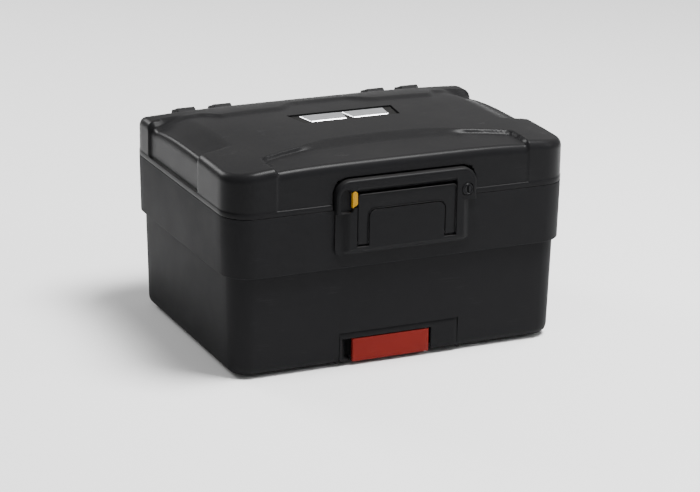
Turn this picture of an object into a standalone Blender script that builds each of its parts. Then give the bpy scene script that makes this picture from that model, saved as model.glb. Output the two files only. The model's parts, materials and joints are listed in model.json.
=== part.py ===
"""A hard top case for a motorcycle rack, with a volume that can be raised and lowered.

A tub-shaped lower shell sits on a rack plate.  An upper shell slides over it like a
sleeve, and carries the latch module, the hinges and the lid.  A release lever at the
bottom of the front pulls the bolt that holds the case on its rack.

Millimetres in the source, metres in the file.  Origin: centre of the underside, where
the rack plate and the rubber buffers touch the rack.  +X is to the right of someone who
faces the latch, +Y points from the latch to the hinges, +Z is up.
"""
import math

import bmesh
import bpy
import numpy as np
from mathutils import Vector

MM = 0.001

# ------------------------------------------------------------------ driving dimensions
CASE_W = 410.0            # width at the seam between upper shell and lid
CASE_D = 308.0            # depth at the seam
CASE_R = 34.0             # plan radius of the corners
GAP = 0.3                 # gap between pieces that touch
RUN = 0.5                 # clearance round pieces that move
FOOT_H = 3.0              # buffers and rack plate lift the shell by this much
STEP_Z = 117.5            # lower edge of the upper shell
SEAM_Z = 184.4            # top of the upper shell's flange
LOWER_TOP = 178.0         # rim of the lower shell, hidden inside the upper shell
LOWER_IN_BOTTOM = 9.8     # lower shell's inset from the seam outline at its bottom
LOWER_IN_STEP = 6.8       # and at the step
UPPER_IN_STEP = 1.3       # upper shell's inset at the step
WALL = 3.0                # wall of the lower shell
FLOOR = 4.0               # floor of the lower shell
BOTTOM_FILLET = 9.0
BAND = 2.6                # wall of the upper shell
SKIRT_IN = 17.0           # inset of the upper shell's inner skirt
SKIRT_T = 2.5
SKIRT_Z = 98.0            # lower edge of the inner skirt

LID_WALL = 3.0
LID_IN = 9.0              # inset of the lid's top from its skirt
LID_CENTRE = 243.0        # height of the lid's centre
LID_FRONT_DROP = 3.0      # fall of the top towards the front
LID_REAR_DROP = 19.0      # and towards the hinges
LID_SIDE_DROP = 8.0       # and towards the sides
STRIP_DEPTH = 4.5         # lower strip along the front
STRIP_X = CASE_W / 2 - 55  # half width of that strip
SIDE_DEPTH = 6.5          # lower panels between the corner blocks
REAR_RISE = 3.0           # raised band in front of the hinges

HANDLE_X = 59.0           # carry handle, half width
MODULE_X = HANDLE_X + 25.0  # latch module, half width
MODULE_Z0 = 132.0
MODULE_Z1 = 217.5
MODULE_Y = 6.0            # how far it stands out of the seam outline
NOTCH_GAP = 1.5           # dark gap between module and lid
ALCOVE_Y = 11.3           # depth of the lid's alcove behind the seam outline

HANDLE_LEG = 13.0
HANDLE_T = 4.5
HANDLE_Z1 = 201.0
HANDLE_BAR = 18.0
HANDLE_PIVOT_Z = 146.0
HANDLE_BARREL = 3.5
PIN_R = 1.6

BUTTON_X0, BUTTON_X1 = -HANDLE_X - 7.0, -HANDLE_X - 0.9
BUTTON_Z0, BUTTON_Z1 = 187.0, 205.0
BUTTON_TRAVEL = 4.0
HOOK_Z = 202.0            # axis of the latch hook
LOCK_X, LOCK_Z, LOCK_R = HANDLE_X + 13.5, MODULE_Z1 - 24.5, 6.5

BOX_X = 72.5              # mechanism pocket in the bottom of the lower shell, half width
BOX_Y1 = -CASE_D / 2 + 62.0
BOX_Z1 = 39.4
LEVER_X0 = -56.0          # release lever, free end
LEVER_PIVOT_X = 34.0
LEVER_R = 4.2
LEVER_T = 4.0
LEVER_Z0, LEVER_Z1 = 4.8, 31.0
BEZEL_T = LEVER_R - 2.0 - GAP
CRANK_R = 9.0             # crank pin of the release lever
CRANK_START = 105.0
CRANK_PIN_R = 1.8
CRANK_PLAY = 1.0          # play of the crank pin in the bolt's fork
BOLT_Z = 33.0
BOLT_T = 4.0

PLATE_X, PLATE_Y0, PLATE_Y1 = 100.0, BOX_Y1 - 26.0, CASE_D / 2 - 84.0
PLATE_T = 2.7
BUFFER_X, BUFFER_Y, BUFFER_R = CASE_W / 2 - 55.0, CASE_D / 2 - 54.0, 10.0

HINGE_R = 6.0
HINGE_Y = CASE_D / 2 + HINGE_R + 3.0
HINGE_PIN_R = 2.5
RIB_X = (CASE_W / 2 - 107.0, CASE_W / 2 - 62.0)  # centres of the two ribs of each lid hinge
RIB_W = 21.0

VOL_Z = 112.0             # axis of the volume levers
VOL_ARM = 46.0

SEGS = 6                  # segments in a quarter of a case corner

# ------------------------------------------------------------------ derived sizes
HALF_W, HALF_D = CASE_W / 2, CASE_D / 2
FRONT = -HALF_D                                   # seam outline at the front
MODULE_FRONT = FRONT - MODULE_Y
SLOPE = (LOWER_IN_BOTTOM - LOWER_IN_STEP) / (STEP_Z - FOOT_H)
LEVER_PIVOT_Y = FRONT + LOWER_IN_BOTTOM - 0.6 + LEVER_R
HANDLE_PIVOT_Y = MODULE_FRONT + HANDLE_BARREL
HOOK_Y = FRONT + 4.2
BOLT_TIP = BOX_Y1 - 8.5    # rear end of the rack bolt


def lower_inset(z):
    """Inset of the lower shell's outer wall at height z."""
    return LOWER_IN_BOTTOM - SLOPE * (z - FOOT_H)


# ------------------------------------------------------------------ materials
def material(name, colour, rough, metal=0.0):
    mat = bpy.data.materials.new(name)
    mat.use_nodes = True
    bsdf = mat.node_tree.nodes["Principled BSDF"]
    bsdf.inputs["Base Color"].default_value = (*colour, 1.0)
    bsdf.inputs["Roughness"].default_value = rough
    bsdf.inputs["Metallic"].default_value = metal
    mat.diffuse_color = (*colour, 1.0)
    return mat


# ------------------------------------------------------------------ mesh helpers
def add_object(name, bm, mat, origin=(0.0, 0.0, 0.0), smooth=None):
    """Turn a bmesh in millimetres into an object whose origin is at `origin`."""
    bmesh.ops.recalc_face_normals(bm, faces=bm.faces)
    if bm.calc_volume(signed=True) < 0:
        bmesh.ops.reverse_faces(bm, faces=bm.faces)
    centre = Vector(origin)
    for v in bm.verts:
        v.co = (v.co - centre) * MM
    mesh = bpy.data.meshes.new(name)
    bm.to_mesh(mesh)
    bm.free()
    mesh.materials.append(mat)
    if smooth:
        mesh.shade_smooth()
        mesh.set_sharp_from_angle(angle=math.radians(smooth))
    obj = bpy.data.objects.new(name, mesh)
    obj.location = centre * MM
    bpy.context.scene.collection.objects.link(obj)
    return obj


def box(x0, x1, y0, y1, z0, z1):
    bm = bmesh.new()
    corners = [(x, y, z) for z in (z0, z1) for x, y in ((x0, y0), (x1, y0), (x1, y1), (x0, y1))]
    v = [bm.verts.new(c) for c in corners]
    for f in ((3, 2, 1, 0), (4, 5, 6, 7), (0, 1, 5, 4), (1, 2, 6, 5), (2, 3, 7, 6), (3, 0, 4, 7)):
        bm.faces.new([v[i] for i in f])
    return bm


def loft(rings, closed=False):
    """Skin a stack of rings with equal point counts; capped at both ends unless closed."""
    bm = bmesh.new()
    loops = [[bm.verts.new(p) for p in ring] for ring in rings]
    pairs = list(zip(loops, loops[1:]))
    if closed:
        pairs.append((loops[-1], loops[0]))
    for a, b in pairs:
        for i in range(len(a)):
            j = (i + 1) % len(a)
            bm.faces.new((a[i], a[j], b[j], b[i]))
    if not closed:
        bm.faces.new(loops[0][::-1])
        bm.faces.new(loops[-1])
    return bm


def outline(inset, segs=SEGS):
    """The case's rounded rectangle in plan, drawn in by `inset`."""
    hw, hd, r = HALF_W - inset, HALF_D - inset, max(CASE_R - inset, 3.0)
    pts = []
    for cx, cy, a0 in ((hw - r, hd - r, 0), (r - hw, hd - r, 90), (r - hw, r - hd, 180), (hw - r, r - hd, 270)):
        for k in range(segs + 1):
            a = math.radians(a0 + 90.0 * k / segs)
            pts.append((cx + r * math.cos(a), cy + r * math.sin(a)))
    return pts


def case_loft(profile, closed=False, segs=SEGS):
    """Sweep a profile of (inset, z) pairs round the case outline."""
    return loft([[(x, y, z) for x, y in outline(i, segs)] for i, z in profile], closed)


def prism(points, axis, a, b):
    """Extrude a polygon along an axis; points are the other two coordinates in X, Y, Z order."""
    def place(p, t):
        p = list(p)
        p.insert(axis, t)
        return tuple(p)
    return loft([[place(p, a) for p in points], [place(p, b) for p in points]])


def arc(cx, cy, r, a0, a1, n):
    """Points on an arc, both ends included."""
    return [(cx + r * math.cos(math.radians(a0 + (a1 - a0) * k / n)),
             cy + r * math.sin(math.radians(a0 + (a1 - a0) * k / n))) for k in range(n + 1)]


def cylinder(axis, cu, cv, r, a, b, n=20):
    """Round bar along an axis, centred on the other two coordinates."""
    return prism(arc(cu, cv, r, 0, 360 - 360 / n, n - 1), axis, a, b)


def plate(x0, x1, z0, z1, r_bottom, r_top, n=4):
    """Outline in X and Z with rounded bottom and top corners."""
    b, t = r_bottom, r_top
    return (arc(x1 - b, z0 + b, b, -90, 0, n) + arc(x1 - t, z1 - t, t, 0, 90, n)
            + arc(x0 + t, z1 - t, t, 90, 180, n) + arc(x0 + b, z0 + b, b, 180, 270, n))


def boolean(obj, bm, operation):
    """Apply one exact Boolean of a bmesh in millimetres to an object, then drop the cutter."""
    bmesh.ops.recalc_face_normals(bm, faces=bm.faces)
    for v in bm.verts:
        v.co = v.co * MM
    mesh = bpy.data.meshes.new("cutter")
    bm.to_mesh(mesh)
    bm.free()
    cutter = bpy.data.objects.new("cutter", mesh)
    bpy.context.scene.collection.objects.link(cutter)
    cutter.hide_render = True
    cutter.display_type = "WIRE"
    mod = obj.modifiers.new("cut", "BOOLEAN")
    mod.object = cutter
    mod.operation = operation
    mod.solver = "EXACT"
    bpy.context.view_layer.update()
    graph = bpy.context.evaluated_depsgraph_get()
    done = bpy.data.meshes.new_from_object(obj.evaluated_get(graph))
    obj.modifiers.clear()
    old, obj.data = obj.data, done
    done.name = obj.name
    bpy.data.meshes.remove(old)
    bpy.data.objects.remove(cutter)
    bpy.data.meshes.remove(mesh)
    return obj


def cut(obj, bm):
    return boolean(obj, bm, "DIFFERENCE")


def join(obj, bm):
    return boolean(obj, bm, "UNION")


# ------------------------------------------------------------------ lid relief
def ramp(t, a, b):
    """Smooth step from 0 at a to 1 at b."""
    s = np.clip((t - a) / (b - a), 0.0, 1.0)
    return s * s * (3.0 - 2.0 * s)


def strip_edge(x):
    """Where the front strip's rear wall lies: it bows back towards the middle."""
    return FRONT + 43.0 + 27.0 * (1.0 - np.minimum(np.abs(x) / STRIP_X, 1.0) ** 2.2)


def band_edge(x):
    """Where the raised rear band begins: two hinge covers reach forward."""
    u = np.abs(x)
    hump = ramp(u, 30.0, 62.0) * (1.0 - ramp(u, 128.0, 150.0))
    return HALF_D - 72.0 - 26.0 * hump + 6.0 * ramp(u, 150.0, 175.0)


def dome(x, y):
    """The lid's top without its relief."""
    front = LID_FRONT_DROP * (np.clip(-y, 0, None) / (HALF_D - 4)) ** 2
    rear = LID_REAR_DROP * (np.clip(y, 0, None) / (HALF_D - 7)) ** 2.3
    side = LID_SIDE_DROP * (1 - 0.75 * ramp(y, HALF_D - 64, HALF_D - 19)) * (np.abs(x) / (HALF_W - 10)) ** 4
    return LID_CENTRE - front - rear - side


def lid_height(x, y):
    """The lid's top with front strip, corner blocks, side panels and rear band."""
    u = np.abs(x)
    strip = (1 - ramp(u, STRIP_X - 2, STRIP_X + 2)) * (1 - ramp(y, strip_edge(x) - 2.5, strip_edge(x) + 2.5))
    side = ramp(y, -58.0, -50.0) * (1 - ramp(y, 92.0, 100.0)) * ramp(u, HALF_W - 45, HALF_W - 12)
    band = ramp(y, band_edge(x) - 7.0, band_edge(x) + 7.0) * (1 - ramp(y, HALF_D - 40, HALF_D - 12))
    return dome(x, y) - STRIP_DEPTH * strip - SIDE_DEPTH * side + REAR_RISE * band


# ------------------------------------------------------------------ base: lower shell and what is fixed to it
def build_base(mats):
    black, rubber, steel, dark = mats["case_black"], mats["rubber"], mats["zinc_steel"], mats["inner_black"]
    bottom, top = FOOT_H, LOWER_TOP
    f = BOTTOM_FILLET
    outer = [(LOWER_IN_BOTTOM + f, bottom)]
    outer += [(LOWER_IN_BOTTOM + f - f * math.sin(math.radians(a)), bottom + f - f * math.cos(math.radians(a)))
              for a in (30, 60, 90)]
    outer += [(LOWER_IN_STEP, STEP_Z), (lower_inset(top), top)]
    inner = [(lower_inset(top) + WALL, top), (lower_inset(bottom + 14) + WALL, bottom + 14),
             (lower_inset(bottom) + WALL + 7, bottom + FLOOR)]
    shell = add_object("lower_shell", case_loft(outer + inner), black, smooth=40)
    join(shell, box(-BOX_X - 3, BOX_X + 3, FRONT + LOWER_IN_BOTTOM + 1.5, BOX_Y1 + 3, bottom + 1, BOX_Z1 + 3))
    cut(shell, box(-BOX_X, BOX_X, FRONT - 5, BOX_Y1, bottom - 5, BOX_Z1))

    mat_y0 = BOX_Y1 + 3 + 2
    add_object("floor_mat", box(40 - HALF_W, HALF_W - 40, mat_y0, HALF_D - 32, bottom + FLOOR + GAP, bottom + FLOOR + 3),
               rubber)

    screws = [(sx * (PLATE_X - 30), y) for sx in (-1, 1) for y in (PLATE_Y0 + 58, PLATE_Y1 - 25)]
    rack = add_object("rack_plate", prism(plate(-PLATE_X, PLATE_X, PLATE_Y0, PLATE_Y1, 12, 12), 2, 0, PLATE_T), steel)
    cut(rack, box(-14, 14, PLATE_Y0 + 8, PLATE_Y0 + 24, -5, 10))
    for i, (x, y) in enumerate(screws, 1):
        head, shank = 4.5, 2.0
        top_z = bottom + 3.2
        rings = [(head, 0.4), (shank, 2.4), (shank, top_z)]
        cut(rack, loft([[(x + (r + GAP) * math.cos(a), y + (r + GAP) * math.sin(a), z)
                         for a in np.linspace(0, 2 * math.pi, 20, endpoint=False)]
                        for r, z in ((head, -1.0), (head, 0.4), (shank, 2.4), (shank, 9.0))]))
        cut(shell, cylinder(2, x, y, shank + GAP, bottom - 2, top_z + GAP))
        screw = add_object(f"rack_screw_{i}", loft([[(x + r * math.cos(a), y + r * math.sin(a), z)
                           for a in np.linspace(0, 2 * math.pi, 20, endpoint=False)] for r, z in rings]), steel)
        cut(screw, cylinder(2, x, y, 1.5, -1, 1.7, 6))
    for name, sx, sy in (("front_left", -1, -1), ("front_right", 1, -1), ("rear_left", -1, 1), ("rear_right", 1, 1)):
        add_object(f"buffer_{name}", cylinder(2, sx * BUFFER_X, sy * BUFFER_Y, BUFFER_R, 0, bottom - GAP, 24), rubber,
                   smooth=40)

    y_face = FRONT + LOWER_IN_BOTTOM - 0.6
    z0, z1 = FOOT_H + 1, FOOT_H + 36
    bezel = add_object("release_bezel", prism(plate(-BOX_X + GAP, BOX_X - GAP, z0, z1, 3, 3), 1, y_face, y_face + BEZEL_T),
                       dark)
    cut(bezel, box(-BOX_X + 2.5, LEVER_PIVOT_X + LEVER_R + 1.2, y_face - 5, y_face + 8, z0 - 3, LEVER_Z1 + 0.8))
    x, y = LEVER_PIVOT_X, LEVER_PIVOT_Y
    add_object("release_pin", cylinder(2, x, y, 2.0, FOOT_H + 0.6, BOX_Z1 - GAP), steel, smooth=40)

    stroke = CRANK_R * (math.sin(math.radians(CRANK_START)) - math.sin(math.radians(CRANK_START + 60)))
    y1, low = BOLT_TIP - 8 - stroke - 0.6, BOLT_Z - GAP
    y0 = y1 - 8
    keeper = add_object("bolt_keeper", box(-18, 18, y0, y1, low - 2.5, low), steel)
    join(keeper, box(-18, -15.5, y0, y1, low - 1, BOX_Z1 - GAP))
    join(keeper, box(15.5, 18, y0, y1, low - 1, BOX_Z1 - GAP))

    for name, s in (("left", -1), ("right", 1)):
        def section(z):
            xo = HALF_W - lower_inset(z) - WALL - GAP
            xi, xb = HALF_W - SKIRT_IN + 1.0, HALF_W - SKIRT_IN + 4.2
            pts = [(xo, -11), (xo, 11), (xi, 11), (xi, 8.5), (xb, 8.5), (xb, -8.5), (xi, -8.5), (xi, -11)]
            return [(s * px, py, z) for px, py in pts]
        add_object(f"guide_rail_{name}", loft([section(SKIRT_Z), section(LOWER_TOP - 3)]), dark)


# ------------------------------------------------------------------ release lever and bolt
def build_release(mats):
    x, y = LEVER_PIVOT_X, LEVER_PIVOT_Y
    front = y - LEVER_R
    body = [(LEVER_X0, front), (x, front)] + arc(x, y, LEVER_R, -90, 90, 8)[1:] \
        + [(x - 6, y + LEVER_R - 1.0), (x - 14, front + LEVER_T), (LEVER_X0, front + LEVER_T)]
    lever = add_object("release_lever", prism(body, 2, LEVER_Z0, LEVER_Z1), mats["release_red"], (x, y, LEVER_Z0),
                       smooth=30)
    a = math.radians(CRANK_START)
    px, py = x + CRANK_R * math.cos(a), y + CRANK_R * math.sin(a)
    web = arc(x, y, 3.2, 205, 395, 8) + arc(px, py, 3.0, 30, 210, 8)
    join(lever, prism(web, 2, LEVER_Z1 - 4, LEVER_Z1 - 0.01))
    join(lever, cylinder(2, px, py, CRANK_PIN_R, LEVER_Z1 - 2, BOLT_Z + BOLT_T, 12))
    cut(lever, cylinder(2, x, y, 2.0 + GAP, 0, 40))

    half = CRANK_PIN_R + CRANK_PLAY
    tip = BOLT_TIP
    plan = [(-12, tip), (-12, py + 1.5), (16, py + 1.5), (16, py - half - 1.5), (x - 2.8, py - half - 1.5),
            (x - 2.8, py - half), (x - 13, py - half), (x - 13, py + half), (x + 2, py + half),
            (x + 2, py + half + 3.2), (12, py + half + 3.2), (12, tip)]
    bolt = add_object("rack_bolt", prism(plan, 2, BOLT_Z, BOLT_Z + BOLT_T), mats["zinc_steel"], (0, py, BOLT_Z))
    join(bolt, box(-12, 12, tip - 8, tip, FOOT_H + 1.5, BOLT_Z + 1))


# ------------------------------------------------------------------ upper shell, seal, latch module, hinge bases
def build_upper(mats):
    black, rubber, steel, dark = mats["case_black"], mats["rubber"], mats["zinc_steel"], mats["inner_black"]
    profile = [(UPPER_IN_STEP, STEP_Z), (0.25, SEAM_Z - 14), (0.0, SEAM_Z),
               (SKIRT_IN + SKIRT_T, SEAM_Z), (SKIRT_IN + SKIRT_T, SKIRT_Z), (SKIRT_IN, SKIRT_Z),
               (SKIRT_IN, SEAM_Z - BAND), (BAND, SEAM_Z - BAND), (UPPER_IN_STEP + BAND, STEP_Z)]
    shell = add_object("upper_shell", case_loft(profile, closed=True), black, smooth=40)
    wx, wz0, wz1 = MODULE_X - 9.5, MODULE_Z0 + 5.5, SEAM_Z - BAND - 1.5
    cut(shell, box(-wx, wx, FRONT - 5, FRONT + 6, wz0, wz1))
    for s in (-1, 1):
        cut(shell, cylinder(0, 0, VOL_Z, 4.0 + GAP, *sorted((s * (HALF_W - 30), s * (HALF_W - 14)))))
    add_object("lid_seal", case_loft([(SKIRT_IN + 1.8, SEAM_Z + GAP), (SKIRT_IN + 1.6, SEAM_Z + 3.4),
                                      (SKIRT_IN - 0.8, SEAM_Z + 3.4), (SKIRT_IN - 0.8, SEAM_Z + GAP)], closed=True),
               rubber)

    # latch module: a soft-edged boss, a plug in the shell's window and a block above the seam
    front, back = MODULE_FRONT, FRONT - GAP - 0.1
    rings = []
    for y, d in ((back, 0.0), (front + 2.6, 0.0), (front + 0.8, 0.9), (front, 2.8)):
        ring = plate(-MODULE_X + d, MODULE_X - d, MODULE_Z0 + d, MODULE_Z1 - d, 9 - d, 17 - d, 5)
        rings.append([(px, y, pz) for px, pz in ring])
    module = add_object("latch_housing", loft(rings), black, smooth=35)
    deep = FRONT + 3.2
    join(module, box(-wx + GAP, wx - GAP, back - 2, deep, wz0 + GAP, wz1 - GAP))
    top_back = FRONT + 7.0
    join(module, prism(plate(-MODULE_X, MODULE_X, SEAM_Z + GAP, MODULE_Z1, 1, 17, 5), 1, back - 2, top_back))

    # below the seam the boss thins out to either side, which leaves a ledge under the button and the lock
    for s in (-1, 1):
        wedge = [(s * (MODULE_X + 1), front + 4.6), (s * (MODULE_X + 1), front - 2), (s * (MODULE_X - 12), front - 2),
                 (s * (MODULE_X - 12), front), (s * (MODULE_X - 5), front + 1.3)]
        cut(module, prism(wedge, 2, MODULE_Z0 - 1, SEAM_Z - 3.4))

    hx, leg = HANDLE_X, HANDLE_LEG
    pocket_back = front + HANDLE_T + 0.6
    z_leg = HANDLE_PIVOT_Z - HANDLE_BARREL - RUN
    z_bar = HANDLE_Z1 - HANDLE_BAR
    outer = plate(-hx - RUN, hx + RUN, z_leg, HANDLE_Z1 + RUN, RUN, 4)
    inner = plate(-hx + leg + RUN, hx - leg - RUN, z_leg - 5, z_bar - RUN, 2, 8 - RUN)
    pocket = add_object("pocket", prism(outer, 1, front - 3, pocket_back), dark)
    cut(pocket, prism(inner, 1, front - 6, pocket_back + 3))
    cutter = bmesh.new()
    cutter.from_mesh(pocket.data)
    for v in cutter.verts:
        v.co = v.co / MM
    mesh = pocket.data
    bpy.data.objects.remove(pocket)
    bpy.data.meshes.remove(mesh)
    cut(module, cutter)
    for s in (-1, 1):
        lo, hi = sorted((s * (hx - leg - RUN), s * (hx + RUN)))
        cut(module, cylinder(0, HANDLE_PIVOT_Y, HANDLE_PIVOT_Z, HANDLE_BARREL + RUN, lo, hi, 24))
    # finger trough above the handle bar, finger pocket at the left and the button's slot
    cut(module, box(-hx - RUN, hx + RUN, front - 3, front + 8.0, HANDLE_Z1 - 4, HANDLE_Z1 + 8))
    cut(module, prism(plate(BUTTON_X0 - 13, BUTTON_X0 + 1, BUTTON_Z0 - 5, BUTTON_Z1 + 2, 3, 6), 1, front - 3, front + 4))
    cut(module, box(BUTTON_X0 - GAP, BUTTON_X1 + GAP - 0.1, front - 3, front + 8.1, BUTTON_Z0 - GAP, BUTTON_Z1 + GAP))
    # lock bore and the hook's slot at the back
    cut(module, cylinder(1, LOCK_X, LOCK_Z, LOCK_R + GAP, front - 3, top_back - 2.5, 24))
    cut(module, box(BUTTON_X0 - 2, BUTTON_X1 + 2, front + 7.0, top_back + 3, SEAM_Z + 2.2, MODULE_Z1 - 3.0))
    cut(module, box(BUTTON_X0 - 2, BUTTON_X1 + 2, front + 5.2, top_back + 3, HOOK_Z + 2.4, MODULE_Z1 - 3.2))
    cut(module, cylinder(0, HOOK_Y, HOOK_Z, 1.2 + 0.15, BUTTON_X0 - 7, BUTTON_X1 + 4.5, 14))
    for s, name in ((-1, "left"), (1, "right")):
        lo, hi = sorted((s * (hx - leg - 3.5), s * (hx + 3.2)))
        cut(module, cylinder(0, HANDLE_PIVOT_Y, HANDLE_PIVOT_Z, PIN_R + 0.15, lo - GAP, hi + GAP, 16))
        add_object(f"handle_pin_{name}", cylinder(0, HANDLE_PIVOT_Y, HANDLE_PIVOT_Z, PIN_R, lo, hi, 16), steel,
                   smooth=40)
    add_object("hook_pin", cylinder(0, HOOK_Y, HOOK_Z, 1.2, BUTTON_X0 - 6.5, BUTTON_X1 + 4.2, 14), steel,
               smooth=40)
    barrel = add_object("lock_barrel", cylinder(1, LOCK_X, LOCK_Z, LOCK_R, front - 0.6, top_back - 3, 24), black,
                        smooth=40)
    cut(barrel, cylinder(1, LOCK_X, LOCK_Z, LOCK_R - 1.6, front - 3, top_back - 4.5, 24))

    # hinge bases on the rear wall
    for name, s in (("left", -1), ("right", 1)):
        x0, x1 = RIB_X[0] - RIB_W / 2, RIB_X[1] + RIB_W / 2
        mid0, mid1 = RIB_X[0] + RIB_W / 2 + RUN, RIB_X[1] - RIB_W / 2 - RUN
        lo, hi = sorted((s * x0, s * x1))
        z0, z1 = SEAM_Z - 36, SEAM_Z - HINGE_R - 1.5
        base = add_object(f"hinge_base_{name}", prism(plate(lo, hi, z0, z1, 5, 1), 1, HALF_D + GAP, HALF_D + 4.5), black,
                          smooth=40)
        lo, hi = sorted((s * mid0, s * mid1))
        join(base, prism([(HALF_D + GAP + 0.5, z1 - 4), (HALF_D + 4.5, z1 - 4), (HINGE_Y + HINGE_R * 0.9, SEAM_Z - 2),
                          (HINGE_Y, SEAM_Z), (HALF_D + GAP + 0.5, SEAM_Z - 2)], 0, lo, hi))
        join(base, cylinder(0, HINGE_Y, SEAM_Z, HINGE_R, lo, hi, 24))
        cut(base, cylinder(0, HINGE_Y, SEAM_Z, HINGE_PIN_R + GAP, lo - 5, hi + 5, 20))
        lo, hi = sorted((s * (x0 + 1), s * (x1 - 1)))
        add_object(f"hinge_pin_{name}", cylinder(0, HINGE_Y, SEAM_Z, HINGE_PIN_R, lo, hi, 20), steel, smooth=40)
        for i, sx in enumerate((x0 + 8, x1 - 8), 1):
            zc = (z0 + z1) / 2
            cut(base, cylinder(1, s * sx, zc, 3.5 + GAP, HALF_D + 2.5, HALF_D + 9, 16))
            screw = add_object(f"hinge_base_screw_{name}_{i}",
                               cylinder(1, s * sx, zc, 3.5, HALF_D + 2.5 + GAP, HALF_D + 4.9, 16), steel, smooth=40)
            cut(screw, cylinder(1, s * sx, zc, 1.4, HALF_D + 3.8, HALF_D + 9, 6))


# ------------------------------------------------------------------ moving pieces of the upper shell
def build_movers(mats):
    dark, steel, black = mats["inner_black"], mats["zinc_steel"], mats["case_black"]
    front = MODULE_FRONT
    hx, leg = HANDLE_X, HANDLE_LEG
    pivot = (0, HANDLE_PIVOT_Y, HANDLE_PIVOT_Z)
    z_bar = HANDLE_Z1 - HANDLE_BAR
    bar = plate(-hx, hx, HANDLE_PIVOT_Z - 1, HANDLE_Z1, 0.5, 3.5)
    handle = add_object("carry_handle", prism(bar, 1, front, front + HANDLE_T), black, pivot, smooth=30)
    cut(handle, prism(plate(-hx + leg, hx - leg, HANDLE_PIVOT_Z - 9, z_bar, 2, 8), 1, front - 4, front + 9))
    for s in (-1, 1):
        lo, hi = sorted((s * (hx - leg), s * hx))
        join(handle, cylinder(0, HANDLE_PIVOT_Y, HANDLE_PIVOT_Z, HANDLE_BARREL, lo, hi, 24))
    cut(handle, cylinder(0, HANDLE_PIVOT_Y, HANDLE_PIVOT_Z, PIN_R + GAP, -hx - 5, hx + 5, 16))

    # unlock button and the hook it turns
    y_stem = front + 8.6
    button = add_object("release_button", prism([(BUTTON_X0, BUTTON_Z0), (BUTTON_X1 - 0.2, BUTTON_Z0 + 3.5),
                                                 (BUTTON_X1 - 0.2, BUTTON_Z1 - 2), (BUTTON_X1 - 2, BUTTON_Z1),
                                                 (BUTTON_X0 + 2, BUTTON_Z1), (BUTTON_X0, BUTTON_Z1 - 2)],
                                                1, front - 1.2, front + 3.0),
                        mats["button_yellow"], (BUTTON_X0, front, BUTTON_Z0))
    join(button, box(BUTTON_X0 + 0.6, BUTTON_X0 + 4.5, front + 2, y_stem, BUTTON_Z0 + 1.2, BUTTON_Z0 + 3.6))
    py, pz = HOOK_Y, HOOK_Z
    y_arm = y_stem + GAP
    profile = [(y_arm, pz - 15), (y_arm + 2.0, pz - 15), (py + 1.6, pz - 3), (py + 2.4, pz), (py + 1.6, pz + 5.8),
               (py + 4.6, pz + 6.0), (py + 3.4, pz + 9), (py - 1.4, pz + 9), (py - 2.4, pz), (y_arm, pz - 6)]
    hook = add_object("latch_hook", prism(profile, 0, BUTTON_X0, BUTTON_X1), steel, (BUTTON_X0, py, pz))
    cut(hook, cylinder(0, py, pz, 1.2 + GAP, BUTTON_X0 - 5, BUTTON_X1 + 5, 14))

    plug_end = FRONT + 7.0 - 4.5 - GAP
    plug = add_object("lock_cylinder", cylinder(1, LOCK_X, LOCK_Z, LOCK_R - 1.6 - GAP, front - 0.3, plug_end, 24), black,
                      (LOCK_X, front, LOCK_Z), smooth=40)
    cut(plug, box(LOCK_X - 0.8, LOCK_X + 0.8, front - 3, front + 5, LOCK_Z - 3.4, LOCK_Z + 3.4))

    # volume levers: arm and hub inside the skirt, a cam between the rails outside it
    for name, s in (("left", -1), ("right", 1)):
        xi = HALF_W - SKIRT_IN - SKIRT_T - GAP
        arm = arc(0, VOL_Z, 9, 0, 180, 10) + arc(0, VOL_Z - VOL_ARM, 6, 180, 360, 8)
        lo, hi = sorted((s * (xi - 5), s * xi))
        lever = add_object(f"volume_lever_{name}", prism(arm, 0, lo, hi), mats["lever_grey"], (s * xi, 0, VOL_Z),
                           smooth=30)
        lo, hi = sorted((s * (xi - 1), s * (HALF_W - SKIRT_IN + 1.0)))
        join(lever, cylinder(0, 0, VOL_Z, 4.0, lo, hi, 20))
        cam = [(8.1 * math.cos(a), VOL_Z + 5.5 * math.sin(a)) for a in np.linspace(0, 2 * math.pi, 24, endpoint=False)]
        lo, hi = sorted((s * (HALF_W - SKIRT_IN + GAP), s * (HALF_W - SKIRT_IN + 3.6)))
        join(lever, prism(cam, 0, lo, hi))


# ------------------------------------------------------------------ lid
def lid_grid():
    """Grid of plan points whose rows follow the edges of the relief."""
    hw, hd, r = HALF_W - LID_IN, HALF_D - LID_IN, CASE_R - LID_IN
    half = [0, 32, 64, 96, 128, STRIP_X - 2, STRIP_X + 2, HALF_W - 38]
    xs = np.array([-v for v in half[:0:-1]] + half)
    cols = []
    for x in xs:
        s, b = float(strip_edge(x)), float(band_edge(x))
        cols.append([s - 30, s - 2.5, s + 2.5, -58.0, -50.0, -20.0, b - 50, b - 7, b + 7, 98.0 if b + 7 < 93 else b + 12,
                     HALF_D - 40, HALF_D - 24])
    return xs, np.array(cols), hw, hd, r


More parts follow.
